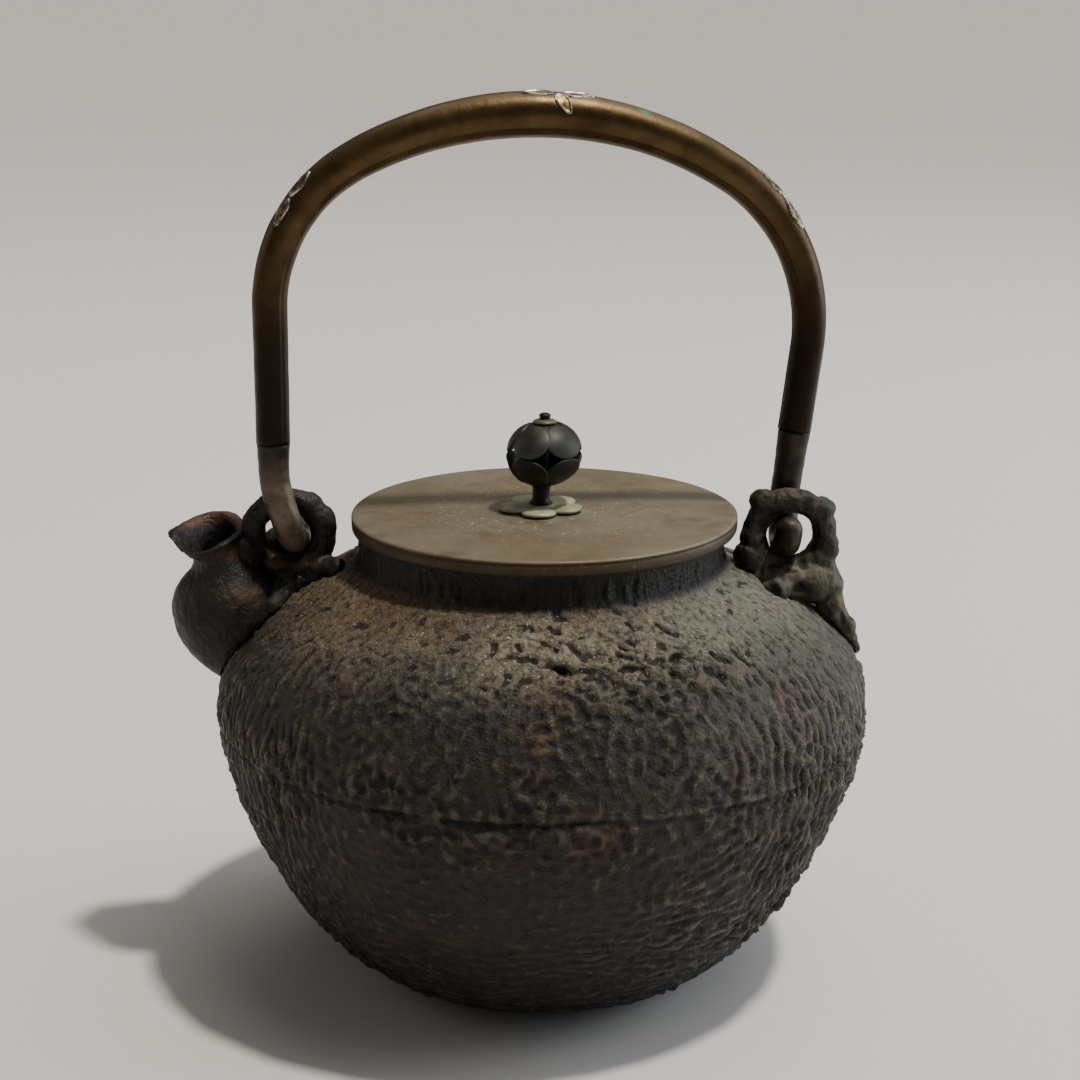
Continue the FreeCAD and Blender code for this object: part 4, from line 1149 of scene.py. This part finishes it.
def lights():
    world = bpy.data.worlds.new("studio")
    bpy.context.scene.world = world
    world.use_nodes = True
    world.node_tree.nodes["Background"].inputs["Color"].default_value = srgb(232, 230, 228)
    world.node_tree.nodes["Background"].inputs["Strength"].default_value = 0.13
    lamp("key", "SUN", (0.30, -0.11, 1.0), (0, 0, 0), 2.6, (1.0, 0.96, 0.88), angle=math.radians(4.5))
    lamp("overhead", "AREA", (0.5, 0.35, 1.6), (0.1, 0.1, 0), 14.0, (1.0, 0.98, 0.95),
         shape="RECTANGLE", size=2.4, size_y=1.8)
    lamp("window", "AREA", (1.5, 0.25, 0.55), (0, 0, 0.08), 15.0, (0.86, 0.93, 1.0),
         shape="RECTANGLE", size=1.0, size_y=1.0)
    lamp("fill", "AREA", (-1.5, 0.3, 0.6), (0, 0, 0.08), 2.2, (1.0, 0.88, 0.78),
         shape="RECTANGLE", size=1.0, size_y=1.0)


CAMERA_PLACE = (-0.00025, -0.510, 0.253045)
CAMERA_PITCH = 15.12          # degrees down
CAMERA_LENS = 67.27


def camera():
    """The photograph's view: from the front, pitched down a little."""
    data = bpy.data.cameras.new("camera")
    data.sensor_width = 36.0
    data.lens = CAMERA_LENS
    obj = bpy.data.objects.new("camera", data)
    bpy.context.scene.collection.objects.link(obj)
    obj.location = CAMERA_PLACE
    obj.rotation_euler = (math.radians(90 - CAMERA_PITCH), 0, 0)
    data.clip_start = 0.01
    bpy.context.scene.camera = obj


# ---------------------------------------------------------------- build
MATERIALS = {
    "cast_iron": iron_finish(),
    "spout_iron": dark_iron_finish("spout_iron", 0.35),
    "lug_iron": dark_iron_finish("lug_iron", 0.5),
    "lid_bronze": lid_finish(),
    # Petal bronze in two copies: lighter for the upper petals, darker for the lower petals, stem and pin,
    # which is painted shade under the ball
    "petal_upper": bronze_finish("petal_upper", srgb(44, 41, 32), srgb(70, 71, 68), 0.4, (0.38, 0.52)),
    "petal_lower_shaded": bronze_finish("petal_lower_shaded", srgb(20, 18, 12), srgb(32, 30, 21), 0.4, (0.42, 0.56)),
    "washer": bronze_finish("washer_bronze", srgb(98, 90, 64), srgb(126, 118, 90), 0.3, (0.40, 0.55)),
    # pale green bronze of its own, lightened further as painted light against the ball's shadow
    "rosette_bronze": bronze_finish("rosette_bronze", srgb(150, 148, 114), srgb(182, 182, 152), 0.1,
                                    (0.45, 0.6), green=0.45),
    "handle_bronze": handle_finish(),
    "hook_bronze": hook_finish(),
    "silver_inlay": inlay_finish(),
}

kettle_body()
spout()
lug(-1, "left_lug", [((-68.0, 13.2, 109.0), (8.0, 4.3, 6.8)), ((-56.6, 0, 119.5), (3.2, 3.6, 5.0)),
                     ((-74.8, -1.0, 112.0), (3.4, 3.6, 4.5)), ((-78.0, -3.0, 109.5), (4.5, 4.5, 3.2)),
                     ((-77.0, -3.0, 112.5), (4.5, 4.5, 4.0)),
                     ((-60.6, 0, 124.9), (3.6, 3.5, 3.4))],
    [((-50.8, -4.6, 108.8), 2.0, 0.8)], 0.12)
lug(1, "right_lug", [((57.9, 0, 125.7), (3.6, 3.5, 3.4)), ((73.0, 0, 123.6), (3.7, 3.5, 3.4)),
                     ((55.3, -0.6, 116.0), (3.3, 3.3, 4.0)), ((75.0, 0, 113.4), (3.3, 3.4, 4.0)),
                     ((63.0, -2.5, 106.4), (8.5, 5.5, 3.6)), ((71.5, -2.0, 104.4), (6.5, 5.0, 5.0)),
                     ((77.0, -1.8, 103.6), (2.6, 3.0, 2.6)), ((60.8, -8.6, 104.2), (4.0, 3.2, 3.0))],
    [((51.9, -4.2, 111.6), 2.7, 1.5), ((59.6, -11.2, 104.6), 2.3, 1.0), ((82.6, -2.0, 86.4), 1.8, 0.5),
     ((67.5, -7.4, 104.0), 1.8, 0.8)], 0.62)
lid()
knob()
handle()
hook(-1, "hook_left")
hook(1, "hook_right")
for node, (angle, lift, leaves) in INLAYS.items():
    inlay(node, angle, lift, leaves)
for node in ("lid_flange", "knob_tail_washer"):
    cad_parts[node].data.materials.clear()
    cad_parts[node].data.materials.append(MATERIALS["lid_bronze"])
stage()
lights()
camera()
